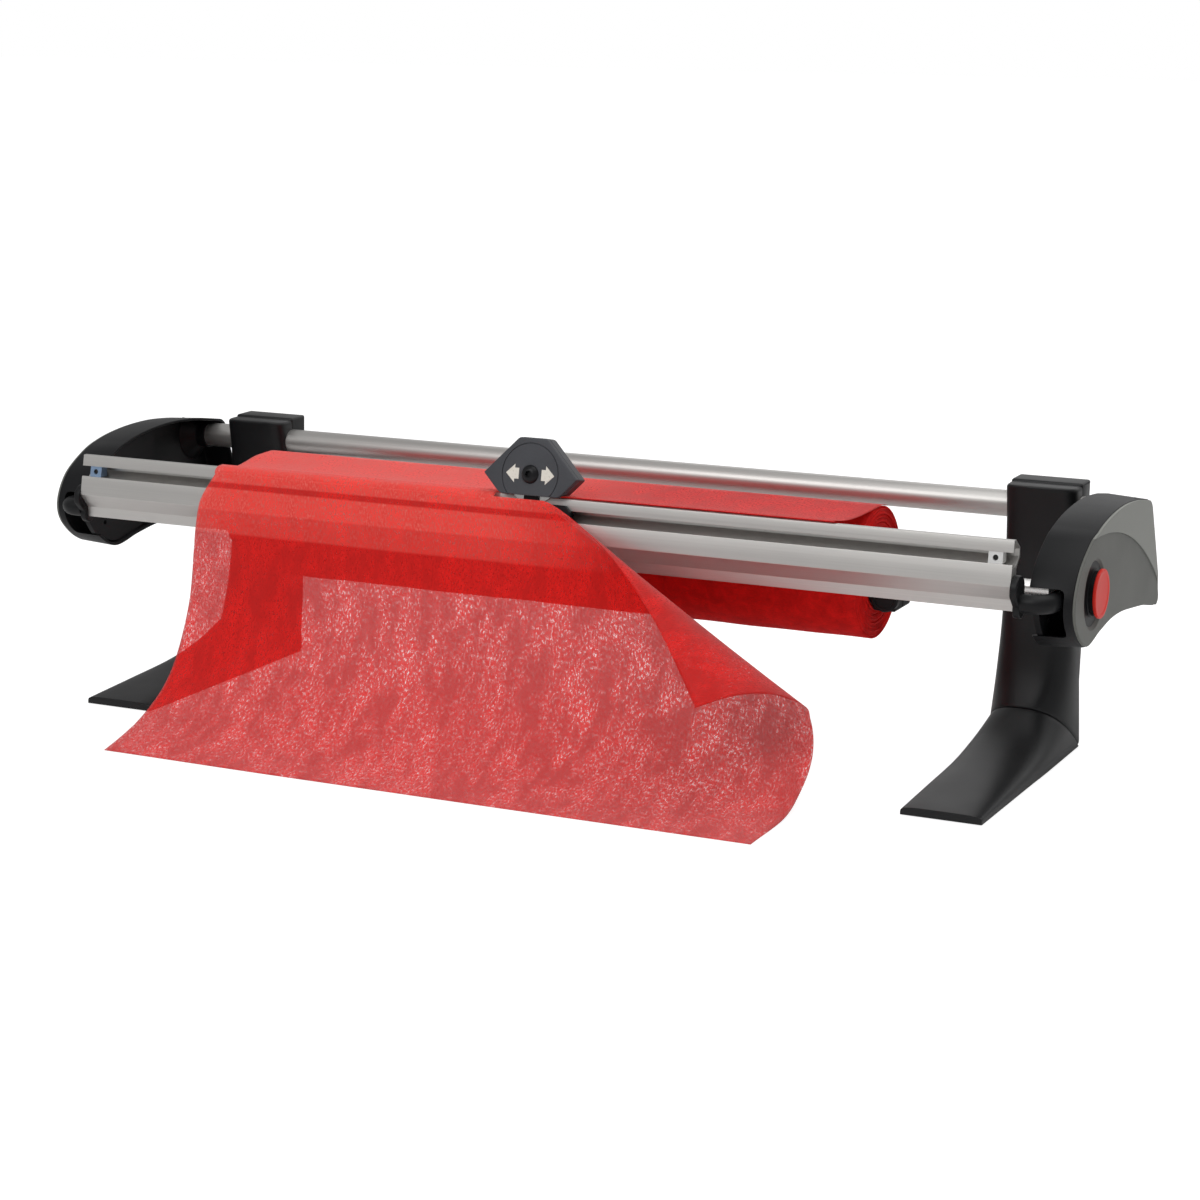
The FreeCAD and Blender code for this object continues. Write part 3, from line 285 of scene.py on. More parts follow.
def anodised(name, colour):
    """Satin anodised aluminium with faint die lines along X."""
    f = Finish(name)
    lines = f.noise(f.place((3, 900, 900)), 1.0, 4, 0.6)
    grit = f.noise(f.place((1, 1, 1)), 2400, 2)
    cloud = f.noise(f.place((1, 1, 1)), 9, 2)
    shade = f.band(lines * 0.75 + cloud * 0.25, 0.3, 0.7)
    darker = [c * 0.90 for c in colour]
    return f.surface(
        Base_Color=f.mix(shade, darker, colour),
        Metallic=0.85,
        Roughness=0.34 + 0.10 * shade + 0.04 * grit,
        Normal=f.bump(lines * 0.6 + grit * 0.4, 0.06, 0.0002))


def bare_steel(name, colour, roughness):
    """Turned or ground steel."""
    f = Finish(name)
    lines = f.noise(f.place((40, 1500, 1500)), 1.0, 3)
    stain = f.noise(f.place((1, 1, 1)), 60, 3)
    return f.surface(
        Base_Color=f.mix(f.band(stain, 0.3, 0.75), [c * 0.85 for c in colour], colour),
        Metallic=1.0,
        Roughness=roughness + 0.12 * f.band(stain, 0.3, 0.8) + 0.05 * lines,
        Normal=f.bump(lines, 0.05, 0.0001))


def painted_arrow(name):
    """Warm white enamel, worn thin in small patches."""
    f = Finish(name)
    patch = f.noise(f.place((1, 1, 1)), 420, 4, 0.7)
    worn = f.band(patch, 0.56, 0.70)
    return f.surface(
        Base_Color=f.mix(worn, (0.78, 0.74, 0.66), (0.47, 0.43, 0.37)),
        Roughness=0.55 + 0.2 * worn,
        Normal=f.bump(patch, 0.15, 0.0002))


# Painted light: the bar's pale faces as seen through the cloth before them, painted into a colour among its
# fibres and as a painted glow
PAINTED_BAR_TONE = (0.92, 0.18, 0.15)
PAINTED_BAR_GLOW = (0.13, 0.014, 0.010)


def non_woven(name, red, cover, painted_bar_levels):
    """One layer of spun fibres on the flat sheet's own map. What passes through its two
    skins is base + clouds + streaks: streaks are short thin places that run along the
    sheet and gather in clouds. Where the cloth lies before the bar, above its foot, the
    light of the bar's pale faces behind it is painted on, into its colour and as a painted
    glow: less on the slant below the nose, and hardly any at the slot, which is painted dark."""
    f = Finish(name)
    flat = f.place((1, 1, 1), "UV")
    along = f.place((1.0, 0.42, 1.0), "UV")
    cloud = f.band(f.noise(along, 24, 4, 0.6, 0.3) * 0.6 + f.noise(along, 90, 3) * 0.4, 0.42, 0.60)
    streak = f.band(f.noise(along, 560, 4, 0.72, 0.06), 0.49, 0.63)
    fibre = f.noise(along, 1700, 2, 0.6, 0.5)
    knot = f.band(f.noise(flat, 700, 2, 0.5), 0.62, 0.80)
    through_skin = (1.0 - cover) + streak * (0.10 + 0.44 * cloud) - 0.10 * knot
    deep = [c * 0.72 for c in red]
    tone = f.mix(f.band(fibre * 0.5 + cloud * 0.5, 0.25, 0.75), deep, red)
    side, _, height = f.axes()
    foot, nose, slot_low, slot_high = painted_bar_levels
    # Masks of the painted light of the bar behind the cloth: full before its faces, less on the slant, the
    # slot painted dark
    slot = f.band(height, slot_low, slot_low + 0.0015) * (1.0 - f.band(height, slot_high - 0.0015, slot_high))
    slant = 1.0 - f.band(height, nose - 0.001, nose + 0.001)
    before_bar = f.band(height, foot - 0.0012, foot + 0.0012) * (1.0 - f.band(side, -0.01, 0.12))
    painted_bar_light = before_bar * (1.0 - 0.85 * slot) * (1.0 - 0.45 * slant)
    return f.surface(
        # Painted light: the bar's pale faces painted into the base colour, strongest on the streaks
        Base_Color=f.mix(painted_bar_light * (0.25 + 0.75 * streak), tone, PAINTED_BAR_TONE),
        Roughness=0.75,
        Specular_IOR_Level=0.12,
        Sheen_Weight=0.25,
        Alpha=1.0 - through_skin,
        # Painted glow of the bar's light through the cloth, as emission where no lamp is
        Emission_Color=f.mix(painted_bar_light, (0.0, 0.0, 0.0), PAINTED_BAR_GLOW),
        Emission_Strength=1.0,
        Normal=f.bump(fibre * 0.4 + streak * 0.6, 0.35, 0.0005))


def wound_wrap(name, red, deep):
    """Many layers of the wrap: dense, matt, with the fibres showing as a fine mottle."""
    f = Finish(name)
    where = f.place((1, 1, 1))
    blotch = f.noise(where, 70, 4, 0.6, 0.6)
    curls = f.noise(f.place((500, 900, 900)), 1.0, 4, 0.7, 1.0)
    tone = f.mix(f.band(blotch * 0.5 + curls * 0.5, 0.38, 0.66), deep, red)
    return f.surface(
        Base_Color=tone,
        Roughness=0.75,
        Specular_IOR_Level=0.12,
        Normal=f.bump(curls, 0.35, 0.0005))


# --- mesh helpers ---
SHARP_ANGLE = 32.0


def piece(name, verts, faces, material, sharp=SHARP_ANGLE):
    """Object from points and faces, its faces turned outwards, smooth up to an angle."""
    mesh = bpy.data.meshes.new(name)
    mesh.from_pydata(np.asarray(verts, float).reshape(-1, 3).tolist(), [], faces)
    turn_outwards(mesh)
    made = bpy.data.objects.new(name, mesh)
    bpy.context.scene.collection.objects.link(made)
    mesh.materials.append(material)
    smooth(mesh, sharp)
    return made


def smooth(mesh, sharp):
    """Smooth shading, with the edges past an angle kept sharp."""
    mesh.shade_smooth()
    mesh.set_sharp_from_angle(angle=math.radians(sharp))


def turn_outwards(mesh):
    """Reverse a closed mesh whose signed volume is negative."""
    shape = bmesh.new()
    shape.from_mesh(mesh)
    if shape.calc_volume(signed=True) < 0:
        bmesh.ops.reverse_faces(shape, faces=shape.faces)
        shape.to_mesh(mesh)
    shape.free()


def loft(rings):
    """Closed skin through rings of points, row k joined to row k + 1, a flat face on each end."""
    rings = np.asarray(rings, float)
    rows, count = rings.shape[:2]
    index = np.arange(rows * count).reshape(rows, count)
    after = np.roll(index, -1, axis=1)
    quads = np.stack([index[:-1], after[:-1], after[1:], index[1:]], axis=-1).reshape(-1, 4)
    return rings.reshape(-1, 3), quads.tolist() + [index[0][::-1].tolist(), index[-1].tolist()]


def joined(*parts):
    """Several skins as one list of points and faces."""
    points, faces, start = [], [], 0
    for verts, part_faces in parts:
        points.append(verts)
        faces += [[i + start for i in face] for face in part_faces]
        start += len(verts)
    return np.concatenate(points), faces


def points_of(x, y, z):
    """Array of points from three arrays of coordinates, each spread to their common shape."""
    return np.stack(np.broadcast_arrays(x, y, z), axis=-1)


def rings_about(radius, along, centre, steps):
    """Rings about the X axis through a centre, one for each row of radius and of the place
    along X. A row of radius holds one number or one for each step of the turn."""
    turn = np.linspace(0, 2 * np.pi, steps, endpoint=False)
    return points_of(along, centre[1] + radius * np.cos(turn), centre[2] + radius * np.sin(turn))


def revolve(profile, centre, steps=96):
    """Skin of (radius, x) pairs turned about the X axis through a centre."""
    profile = np.asarray(profile, float)
    return loft(rings_about(profile[:, :1], profile[:, 1:], centre, steps))


def arc(centre, radius, turn):
    """Points on a circle about a 2-D centre at the angles of turn."""
    return np.stack([centre[0] + radius * np.cos(turn), centre[1] + radius * np.sin(turn)], axis=1)


def softened(profile, radius, steps=3):
    """Open line of 2-D points with each inner corner replaced by a short arc: a quadratic
    curve that leaves and joins the two straight runs a radius away from the corner."""
    line = [np.asarray(p, float) for p in profile]
    out = [line[0]]
    for before, corner, after in zip(line, line[1:], line[2:]):
        back, ahead = before - corner, after - corner
        reach = min(radius, np.linalg.norm(back) * 0.45, np.linalg.norm(ahead) * 0.45)
        a = corner + back / np.linalg.norm(back) * reach
        b = corner + ahead / np.linalg.norm(ahead) * reach
        t = np.linspace(0, 1, steps + 1)[:, None]
        out += list((1 - t) ** 2 * a + 2 * t * (1 - t) * corner + t ** 2 * b)
    out.append(line[-1])
    return np.array(out)


def softened_loop(outline, radius, steps=3):
    """Closed line of 2-D points with every corner softened."""
    line = np.asarray(outline, float)
    start = (line[0] + line[1]) / 2
    return softened([start, *line[1:], line[0], start], radius, steps)[:-1]


def banded(outline, rows):
    """Rings of an outline at (x, inset) rows, each drawn in along the outline's normals."""
    rows = np.asarray(rows, float)
    y, z = np.moveaxis(outline + loop_normals(outline) * rows[:, 1, None, None], -1, 0)
    return points_of(rows[:, :1], y, z)


def prism_x(outline, x0, x1, edge=0.0, steps=3):
    """Skin of a closed (y, z) outline between two planes of constant X, its end edges
    rounded on quarter circles."""
    turn = np.linspace(0, np.pi / 2, steps + 1) if edge else np.array([np.pi / 2])
    start = [(edge * (1 - math.cos(a)), edge * (1 - math.sin(a))) for a in turn]
    rows = [(x0 + step, inset) for step, inset in start] + [(x1 - step, inset) for step, inset in start[::-1]]
    return loft(banded(np.asarray(outline, float), rows))


def loop_normals(outline):
    """Unit normals of a closed 2-D line that point into it."""
    way = np.roll(outline, -1, axis=0) - np.roll(outline, 1, axis=0)
    way /= np.linalg.norm(way, axis=1, keepdims=True)
    normal = np.stack([-way[:, 1], way[:, 0]], axis=1)
    x, y = outline[:, 0], outline[:, 1]
    area = np.sum(x * np.roll(y, -1) - y * np.roll(x, -1))
    return normal if area > 0 else -normal


def through(points, steps):
    """Smooth open line through points: the Catmull-Rom cubic of each four neighbours."""
    p = np.asarray(points, float)
    p = np.concatenate([2 * p[:1] - p[1:2], p, 2 * p[-1:] - p[-2:-1]])
    t = np.linspace(0, 1, steps, endpoint=False)[None, :, None]
    a, b, c, d = (p[k:len(p) - 3 + k, None, :] for k in range(4))
    curve = 0.5 * (2 * b + (c - a) * t + (2 * a - 5 * b + 4 * c - d) * t ** 2
                   + (3 * b - 3 * c + d - a) * t ** 3)
    return np.concatenate([curve.reshape(-1, p.shape[1]), p[-2:-1]])


def mirrored(skin, side):
    """Skin of a right-hand piece, or its mirror image on the left."""
    verts, faces = skin
    verts = np.array(verts)
    verts[:, 0] *= side
    return verts, faces


def cut(made, skin):
    """Take a closed skin's volume out of an object."""
    knife = piece("knife", *skin, made.data.materials[0])
    modifier = made.modifiers.new("Cut", "BOOLEAN")
    modifier.operation = "DIFFERENCE"
    modifier.solver = "EXACT"
    modifier.object = knife
    graph = bpy.context.evaluated_depsgraph_get()
    mesh = bpy.data.meshes.new_from_object(made.evaluated_get(graph))
    made.modifiers.clear()
    made.data = mesh
    bpy.data.objects.remove(knife)
    smooth(mesh, SHARP_ANGLE)


def stand_in(made, body, node):
    """Let a piece ride a body in place of a CAD node, which is hidden."""
    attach(made, body)
    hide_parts(node)


def on_side(side, sign, name, skin, material, node, body="frame", sharp=SHARP_ANGLE, knife=None):
    """One side's piece from the right-hand skin, in place of its CAD node, with the volume
    of the knife's skin taken out."""
    made = piece(side + "_" + name, *mirrored(skin, sign), material, sharp)
    if knife is not None:
        cut(made, mirrored(knife, sign))
    stand_in(made, body, side + "_" + node)


def paint(names, material):
    """Give CAD nodes a finish."""
    for name in names:
        slots = NODES[name].data.materials
        slots.clear()
        slots.append(material)


def both(*names):
    """Right and left node names."""
    return [side + "_" + name for name in names for side, _ in SIDES]


def section(points_mm):
    """Points that end in (y, height), in millimetres from the tube's axis, in the shared
    frame's metres."""
    points = np.asarray(points_mm, float) * MM
    points[..., -2] += TUBE.y
    return points


# --- stage ---
CAMERA_PLACE = (1.2452, -2.4494, 0.7726)
CAMERA_PITCH = math.radians(90 - 12.97)
CAMERA_YAW = math.radians(25.83)
CAMERA_LENS_MM = 85.5
SENSOR_MM = 36
FLOOR_REACH = 14.0
WORLD_LIGHT = 0.38
FLOOR_GLOW = 1.70
FLOOR_SHARE = 0.50


def lamp(name, place, aim, size, power):
    """Rectangular lamp that points at a place."""
    data = bpy.data.lights.new(name, "AREA")
    data.shape = "RECTANGLE"
    data.size, data.size_y = size
    data.energy = power
    made = bpy.data.objects.new(name, data)
    made.location = place
    made.rotation_euler = (Vector(aim) - Vector(place)).to_track_quat("-Z", "Y").to_euler()
    bpy.context.scene.collection.objects.link(made)


class GIFTCUTTER_OT_stage(bpy.types.Operator):
    """Floor, backdrop light, lamps and camera"""

    bl_idname = "giftcutter.stage"
    bl_label = "Stage"

    def execute(self, context):
        settings = context.scene.giftcutter_stage
        far = FLOOR_REACH
        floor = piece("stage_floor", [(-far, -far, 0), (far, -far, 0), (far, far, 0), (-far, far, 0)],
                      [[0, 1, 2, 3]], floor_finish(settings.backdrop))
        context.scene.world = studio_world(settings.backdrop)
        lamp("key_lamp", (-0.6, -2.4, 2.3), (0, -0.1, 0.1), (2.2, 1.4), settings.key_power)
        lamp("top_lamp", (0.8, -0.1, 2.5), (0.1, 0, 0.2), (3.0, 2.0), settings.top_power)
        lamp("rear_lamp", (0.2, 2.8, 1.7), (0, 0.1, 0.2), (4.5, 2.2), settings.rear_power)
        context.scene.camera = view_camera()
        context.scene.view_settings.view_transform = "Standard"
        return {"FINISHED"}


def studio_world(seen):
    """Even light from all round, and a backdrop of its own brightness where the camera sees it."""
    world = bpy.data.worlds.new("Studio")
    world.use_nodes = True
    tree = world.node_tree
    background = tree.nodes["Background"]
    path = tree.nodes.new("ShaderNodeLightPath")
    mixed = tree.nodes.new("ShaderNodeMix")
    mixed.data_type = "FLOAT"
    mixed.inputs[2].default_value = WORLD_LIGHT
    mixed.inputs[3].default_value = seen
    tree.links.new(path.outputs["Is Camera Ray"], mixed.inputs[0])
    background.inputs["Color"].default_value = (1, 1, 1, 1)
    tree.links.new(mixed.outputs[0], background.inputs["Strength"])
    return world


def view_camera():
    """Camera before the right front corner, a little above the object."""
    data = bpy.data.cameras.new("view_camera")
    data.sensor_width = SENSOR_MM
    data.lens = CAMERA_LENS_MM
    data.clip_start, data.clip_end = 0.05, 60
    camera = bpy.data.objects.new("view_camera", data)
    camera.location = CAMERA_PLACE
    camera.rotation_euler = (CAMERA_PITCH, 0, CAMERA_YAW)
    bpy.context.scene.collection.objects.link(camera)
    return camera


def floor_finish(seen):
    """Pale floor that keeps a soft shadow: white as seen, darkened only by the shadow."""
    f = Finish("pale_floor")
    f.surface(Base_Color=(0.9, 0.9, 0.9), Roughness=0.8, Specular_IOR_Level=0.1)
    glow = f.node("ShaderNodeEmission", inputs={"Color": (seen, seen, seen, 1), "Strength": FLOOR_GLOW})
    share = f.node("ShaderNodeLightPath", output="Is Camera Ray") * FLOOR_SHARE
    blend = f.node("ShaderNodeMixShader", inputs={0: share, 1: Socket(f, f.shader.outputs[0]), 2: glow})
    end = next(n for n in f.tree.nodes if n.type == "OUTPUT_MATERIAL")
    f.tree.links.new(blend.output, end.inputs[0])
    return f.material


# --- legs ---
LEG_STEPS = 64
# base (y, z), crown (y, z), width, squareness of the bow, in millimetres
COLUMN_KEYS_MM = [
    (0, 261, -24, 261, 72, 5.4), (0, 220, -18, 220, 72, 5.4), (0, 165, -21, 165, 72, 4.5),
    (0, 120, -29, 120, 75, 3.4), (0, 80, -42, 80, 79, 2.9), (0, 1, -63, 50, 85, 2.6)]
FOOT_KEYS_MM = [
    (0, 1, -63, 50, 85, 2.6), (-100, 1, -100, 31, 84, 2.8), (-150, 1, -150, 20, 82, 3.2),
    (-220, 1, -220, 14, 80, 4.0), (-292, 1, -292, 9, 78, 5.0)]
BACK_SHELL_MM = [(0, 263), (0, 170), (0, 60), (0, 5), (9, 5), (16, 60), (22, 130), (26, 200), (28, 262),
                 (27, 263)]


def leg_rings(keys_mm, steps):
    """Rings of a leg: at each place a flat base and a bow over the crown. Across is
    half the width times sign(c) |c| ^ (2 / n) and the rise is |s| ^ (2 / n) of the way from
    base to crown, where c and s are the cosine and sine of the turn and n the squareness."""
    keys = through(keys_mm, steps)
    turn = np.linspace(0, np.pi, LEG_STEPS)[None, :]
    power = 2 / keys[:, 5:6]
    across = np.sign(np.cos(turn)) * np.abs(np.cos(turn)) ** power * keys[:, 4:5] / 2
    rise = np.abs(np.sin(turn)) ** power
    base, crown = keys[:, None, 0:2], keys[:, None, 2:4]
    y, z = np.moveaxis(section(base + rise[..., None] * (crown - base)), -1, 0)
    return points_of((COLUMN_LOW.x + COLUMN_HIGH.x) / 2 + across * MM, y, z)


def round_ends(rings, radius, steps=4):
    """Rings with both ends drawn in on a quarter circle, towards the end ring's middle and
    back along the piece."""
    first, last = rings[0], rings[-1]
    turn = np.linspace(0, np.pi / 2, steps + 1)
    rows = [(radius * (1 - math.sin(a)), radius * (1 - math.cos(a))) for a in turn[:-1]] + [(0.0, radius)]
    start = [drawn_in(first, rings[1], inset, back) for inset, back in rows]
    end = [drawn_in(last, rings[-2], inset, back) for inset, back in rows[::-1]]
    body = [ring for ring in rings[1:-1] if end_gap(ring, first) > radius and end_gap(ring, last) > radius]
    return np.array(start + body + end)


def end_gap(ring, other):
    """Distance between two rings' middles."""
    return np.linalg.norm(ring.mean(axis=0) - other.mean(axis=0))


def drawn_in(ring, beside, inset, back):
    """A ring moved towards its neighbour and shrunk about its middle."""
    middle_point = ring.mean(axis=0)
    step = (beside - ring) * (back / np.linalg.norm(beside.mean(axis=0) - middle_point))
    out = ring + step
    from_middle = out - out.mean(axis=0)
    reach = np.linalg.norm(from_middle, axis=1, keepdims=True)
    return out - from_middle / np.maximum(reach, 1e-9) * np.minimum(inset, reach * 0.9)


class GIFTCUTTER_OT_legs(bpy.types.Operator):
    """Leg columns, feet and the back shells that clamp them to the tube"""

    bl_idname = "giftcutter.legs"
    bl_label = "Legs"

    def execute(self, context):
        settings = context.scene.giftcutter_stand
        black = moulded("leg_black", settings.black, 0.38, 0.16, 0.34)
        column = loft(round_ends(leg_rings(COLUMN_KEYS_MM, 8), settings.edge * 3))
        foot = loft(round_ends(leg_rings(FOOT_KEYS_MM, 8), settings.edge))
        outline = section(BACK_SHELL_MM)
        outline[:, 0] = np.maximum(outline[:, 0], SHELL_LOW.y)
        shell = prism_x(softened_loop(outline, 0.003), SHELL_LOW.x, SHELL_HIGH.x, settings.edge * 2)
        for side, sign in SIDES:
            on_side(side, sign, "column", column, black, "leg_column", sharp=40)
            on_side(side, sign, "foot", foot, black, "toe", sharp=40)
            on_side(side, sign, "rear_shell", shell, black, "back_shell", sharp=40)
        paint(both("foot_pads"), moulded("pad_rubber", (0.02, 0.02, 0.02), 0.8))
        paint(both("clamp_screws"), bare_steel("screw_steel", (0.5, 0.5, 0.5), 0.3))
        return {"FINISHED"}


# --- side housings ---
HOUSING_WALL = 0.003
BAND_OUT = 0.0045
BAND_DRAFT = 0.0025
NOSE_MM = [(-52, 157), (-89, 161.3), (-124, 162), (-160, 158), (-203, 152.5), (-236, 175),
           (-244.5, 200), (-229, 228), (-197, 247.5), (-172, 255.3), (-146, 260.3), (-113, 263.4),
           (-78, 263.7), (-42, 260.6)]
BACK_RADIUS_MM, HEEL_RADIUS_MM = 15.4, 8.0
HEEL_BACK_MM, HEEL_DROP_MM = 36.0, 88.0
STEP_MIDDLE, STEP_RADIUS = section((-184.6, -84.9)), 0.335
STEP_DEPTH, STEP_FADE = 0.0012, 0.004
STEP_SLOPE = 0.05
LID_DEPTH = 0.0024
WEB = PLATE_LOW.x - 0.003
BOSS_RADIUS = 0.0148
DISH_RADIUS = 0.033
DISH_DEPTH = 0.005
DISH_SHIFT = -0.006
WINDOW_LOW, WINDOW_HIGH = 0.1655, 0.2125


def housing_outline():
    """Closed side outline: an arc about the tube, a sloping back, a rounded heel, and a smooth
    line along the arched underside, round the nose and over the top."""
    corner, heel = BACK_RADIUS_MM, HEEL_RADIUS_MM
    tube_z = TUBE.z / MM
    heel_y, heel_z = HEEL_BACK_MM, tube_z - HEEL_DROP_MM
    reach = math.hypot(heel_y, heel_z - tube_z)
    back = math.atan2(heel_z - tube_z, heel_y) + math.acos((corner - heel) / reach)
    crown, sole = math.radians(80), math.radians(-102)
    top_arc = arc((0.0, tube_z), corner, np.linspace(crown, back, 24))
    heel_arc = arc((heel_y, heel_z), heel, np.linspace(back, sole, 16))
    lead_in = heel_arc[-1] + np.array([math.sin(sole), -math.cos(sole)]) * 38
    lead_out = top_arc[0] - np.array([math.sin(crown), -math.cos(crown)]) * 22
    nose = through([heel_arc[-1], lead_in, *NOSE_MM, lead_out, top_arc[0]], 14)[1:-1]
    back_line = top_arc[-1] + (heel_arc[0] - top_arc[-1]) * np.linspace(0, 1, 14)[1:-1, None]
    return section(np.concatenate([top_arc, back_line, heel_arc, nose]))


class GIFTCUTTER_OT_housings(bpy.types.Operator):
    """Side housings with their lids, inner panels and the tube's bosses"""

    bl_idname = "giftcutter.housings"
    bl_label = "Side housings"

    def execute(self, context):
        settings = context.scene.giftcutter_stand
        black = moulded("housing_black", settings.black, 0.38, 0.14, 0.17)
        grey = stepped_lid("lid_grey", settings.lid_grey, STEP_MIDDLE, STEP_RADIUS)
        outline = housing_outline()
        rim = PLATE_HIGH.x - STEP_DEPTH - LID_DEPTH
        band = HOUSING_LOW.x - BAND_OUT
        rows = softened([(WEB, HOUSING_WALL + 0.004), (WEB, HOUSING_WALL), (band, HOUSING_WALL - BAND_DRAFT),
                         (band, -BAND_DRAFT), (rim, 0.0), (rim, 0.006)], settings.edge)
        drop = lid_drop(outline)
        rings = banded(outline, rows)
        rings[-6:, :, 0] -= drop
        shell, lid = loft(rings), loft(lid_rings(outline, rim, drop))
        for side, sign in SIDES:
            on_side(side, sign, "housing", shell, black, "side_housing", knife=window_skin())
            on_side(side, sign, "lid", lid, grey, "side_plate", knife=dish_skin())
            boss = piece(side + "_tube_boss", *mirrored(boss_skin(), sign), black)
            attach(boss, "frame")
        paint(both("inner_panel"), black)
        paint(both("pivot_pin"), bare_steel("pin_steel", (0.5, 0.5, 0.5), 0.3))
        return {"FINISHED"}


def window_skin():
    """Block with rounded corners that opens the nose for the crank."""
    _, arm_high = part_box("right_crank_arm")
    right = arm_high.x + 0.002
    left = HOUSING_LOW.x - BAND_OUT - 0.006
    loop = softened_loop([(left, WINDOW_LOW), (right, WINDOW_LOW), (right, WINDOW_HIGH), (left, WINDOW_HIGH)],
                         0.006, 5)
    return loft(points_of(loop[:, 0], [[HOUSING_LOW.y - 0.01], [PIVOT.y - 0.02]], loop[:, 1]))


def lid_drop(outline):
    """How far the rim stands back: slope times the distance outside the step's circle, less
    the step."""
    beyond = np.maximum(np.linalg.norm(outline - STEP_MIDDLE, axis=1) - STEP_RADIUS, 0.0)
    return STEP_SLOPE * beyond - STEP_DEPTH * np.minimum(beyond / STEP_FADE, 1.0)


def lid_rings(outline, rim, drop):
    """Rings of the lid from its rim inwards: a rounded edge, a crescent that rises as a
    cone to the step's circle, the step, and the flat face inside it."""
    face = PLATE_HIGH.x - STEP_DEPTH
    rows = softened([(rim - 0.001, 0.0008), (rim + 0.0005, 0.0008), (face, 0.0008), (face, 0.0030)],
                    0.0009, 4)
    rings = banded(outline, rows)
    rings[..., 0] -= drop
    inner = banded(outline, [(face, 0.0032)])[0][:, 1:]
    away = inner - STEP_MIDDLE
    reach = np.linalg.norm(away, axis=1, keepdims=True)
    outside = reach > STEP_RADIUS
    lip, foot = np.empty((2, len(outline), 3))
    for ring, shift, level in ((lip, 0.0002, PLATE_HIGH.x), (foot, -0.0002, face)):
        on_circle = STEP_MIDDLE + away / reach * (STEP_RADIUS + shift)
        ring[:, 1:] = np.where(outside, on_circle, inner)
        ring[:, 0] = np.where(outside[:, 0], level, face)
    near = np.clip((reach[:, 0] - STEP_RADIUS) / STEP_FADE, 0, 1)
    lip[:, 0] = face + (lip[:, 0] - face) * near
    return np.concatenate([rings, [lip, foot]])


def dish_skin():
    """Shallow cone round the button, a little forward of it."""
    face = PLATE_HIGH.x - STEP_DEPTH
    profile = [(DISH_RADIUS - 0.007, face - DISH_DEPTH), (DISH_RADIUS, face), (DISH_RADIUS, face + 0.01)]
    return revolve(profile, (0, PIVOT.y + DISH_SHIFT, PIVOT.z), steps=128)


def boss_skin():
    """Flared boss where the housing holds the tube. Its radius at each turn is the smaller
    of the flare and limit / cos(d), where d is the angle past the sector in which the
    housing's outline is round about the tube."""
    end = HOUSING_LOW.x + 0.005
    profile = softened([(0.0132, end + 0.002), (0.0134, end + 0.0004), (BOSS_RADIUS, end + 0.0004),
                        (BOSS_RADIUS, end + 0.011), (0.0290, WEB - 0.0005), (0.0290, WEB + 0.0005),
                        (0.0132, WEB + 0.0005)], 0.0012)
    turn = np.linspace(0, 2 * np.pi, 120, endpoint=False)
    wrapped = (np.degrees(turn) - 33 + 180) % 360 - 180
    past = np.radians(np.maximum(np.abs(wrapped) - 43, 0))
    limit = BOSS_RADIUS / np.maximum(np.cos(np.minimum(past, 1.5)), 0.3)
    radius = np.minimum(profile[:, :1], limit[None, :])
    return loft(rings_about(radius, profile[:, 1:], TUBE, len(turn)))


class GIFTCUTTER_OT_buttons(bpy.types.Operator):
    """Push buttons, their skirts and the sleeves round them"""

    bl_idname = "giftcutter.buttons"
    bl_label = "Push buttons"

    def execute(self, context):
        settings = context.scene.giftcutter_stand
        red = moulded("button_red", settings.button_red, 0.38, 0.06)
        black = moulded("sleeve_black", settings.black, 0.40, 0.1)
        radius = (CAP_HIGH.y - CAP_LOW.y) / 2
        face = CAP_HIGH.x
        profile = softened([(radius * 0.25, CAP_LOW.x), (radius, CAP_LOW.x), (radius, face),
                            (radius * 0.86, face), (radius * 0.80, face - 0.0005),
                            (radius * 0.02, face - 0.0007)], 0.0009, 4)
        for side, sign in SIDES:
            on_side(side, sign, "button", revolve(profile, PIVOT), red, "button_cap", body=side + "_button")
        paint(both("button_sleeve", "button_skirt"), black)
        paint(both("button_spring"), bare_steel("spring_steel", (0.45, 0.45, 0.46), 0.3))
        return {"FINISHED"}


# --- tube, axle and bar ---
class GIFTCUTTER_OT_tube(bpy.types.Operator):
    """Rear tube and roll axle"""

    bl_idname = "giftcutter.tube"
    bl_label = "Tube and axle"

    def execute(self, context):
        settings = context.scene.giftcutter_stand
        silver = anodised("tube_aluminium", settings.aluminium)
        steel = bare_steel("axle_steel", (0.72, 0.71, 0.7), 0.22)
        for name, node, material in (("tube", "rear_tube", silver), ("axle", "roll_axle", steel)):
            low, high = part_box(node)
            radius = (high.y - low.y) / 2
            bore = radius * 0.8
            profile = softened([(bore, low.x), (radius, low.x), (radius, high.x), (bore, high.x)], 0.001)
            made = piece(name, *revolve(profile, middle(node), steps=96), material)
            stand_in(made, "frame", node)
        return {"FINISHED"}


LEAN = math.radians(12.0)
BAR_OUTLINE_MM = [(-263.0, 258), (-258, 258), (-246, 249), (-246, 240), (-256, 231), (-256, 204), (-257, 202),
                  (-257, 192.5), (-259.2, 192.5), (-259.8, 203)]


def bar_face(height_mm):
    """Front of the bar at a height, in millimetres from the tube's axis."""
    return -263.0 - (258.0 - height_mm) * math.tan(LEAN)


def bar_outline():
    """Closed outline of the extrusion with its T slot, corners slightly rounded."""
    front = [(bar_face(217.5), 217.5), (bar_face(236.5), 236.5), (-265.5, 236.5), (-265, 233.5),
             (-257, 233.5), (-248, 241), (-248, 248), (-258.7, 256), (-261.5, 256), (-263, 247),
             (bar_face(247), 247)]
    return softened_loop(section(BAR_OUTLINE_MM + front), 0.0006, 3)


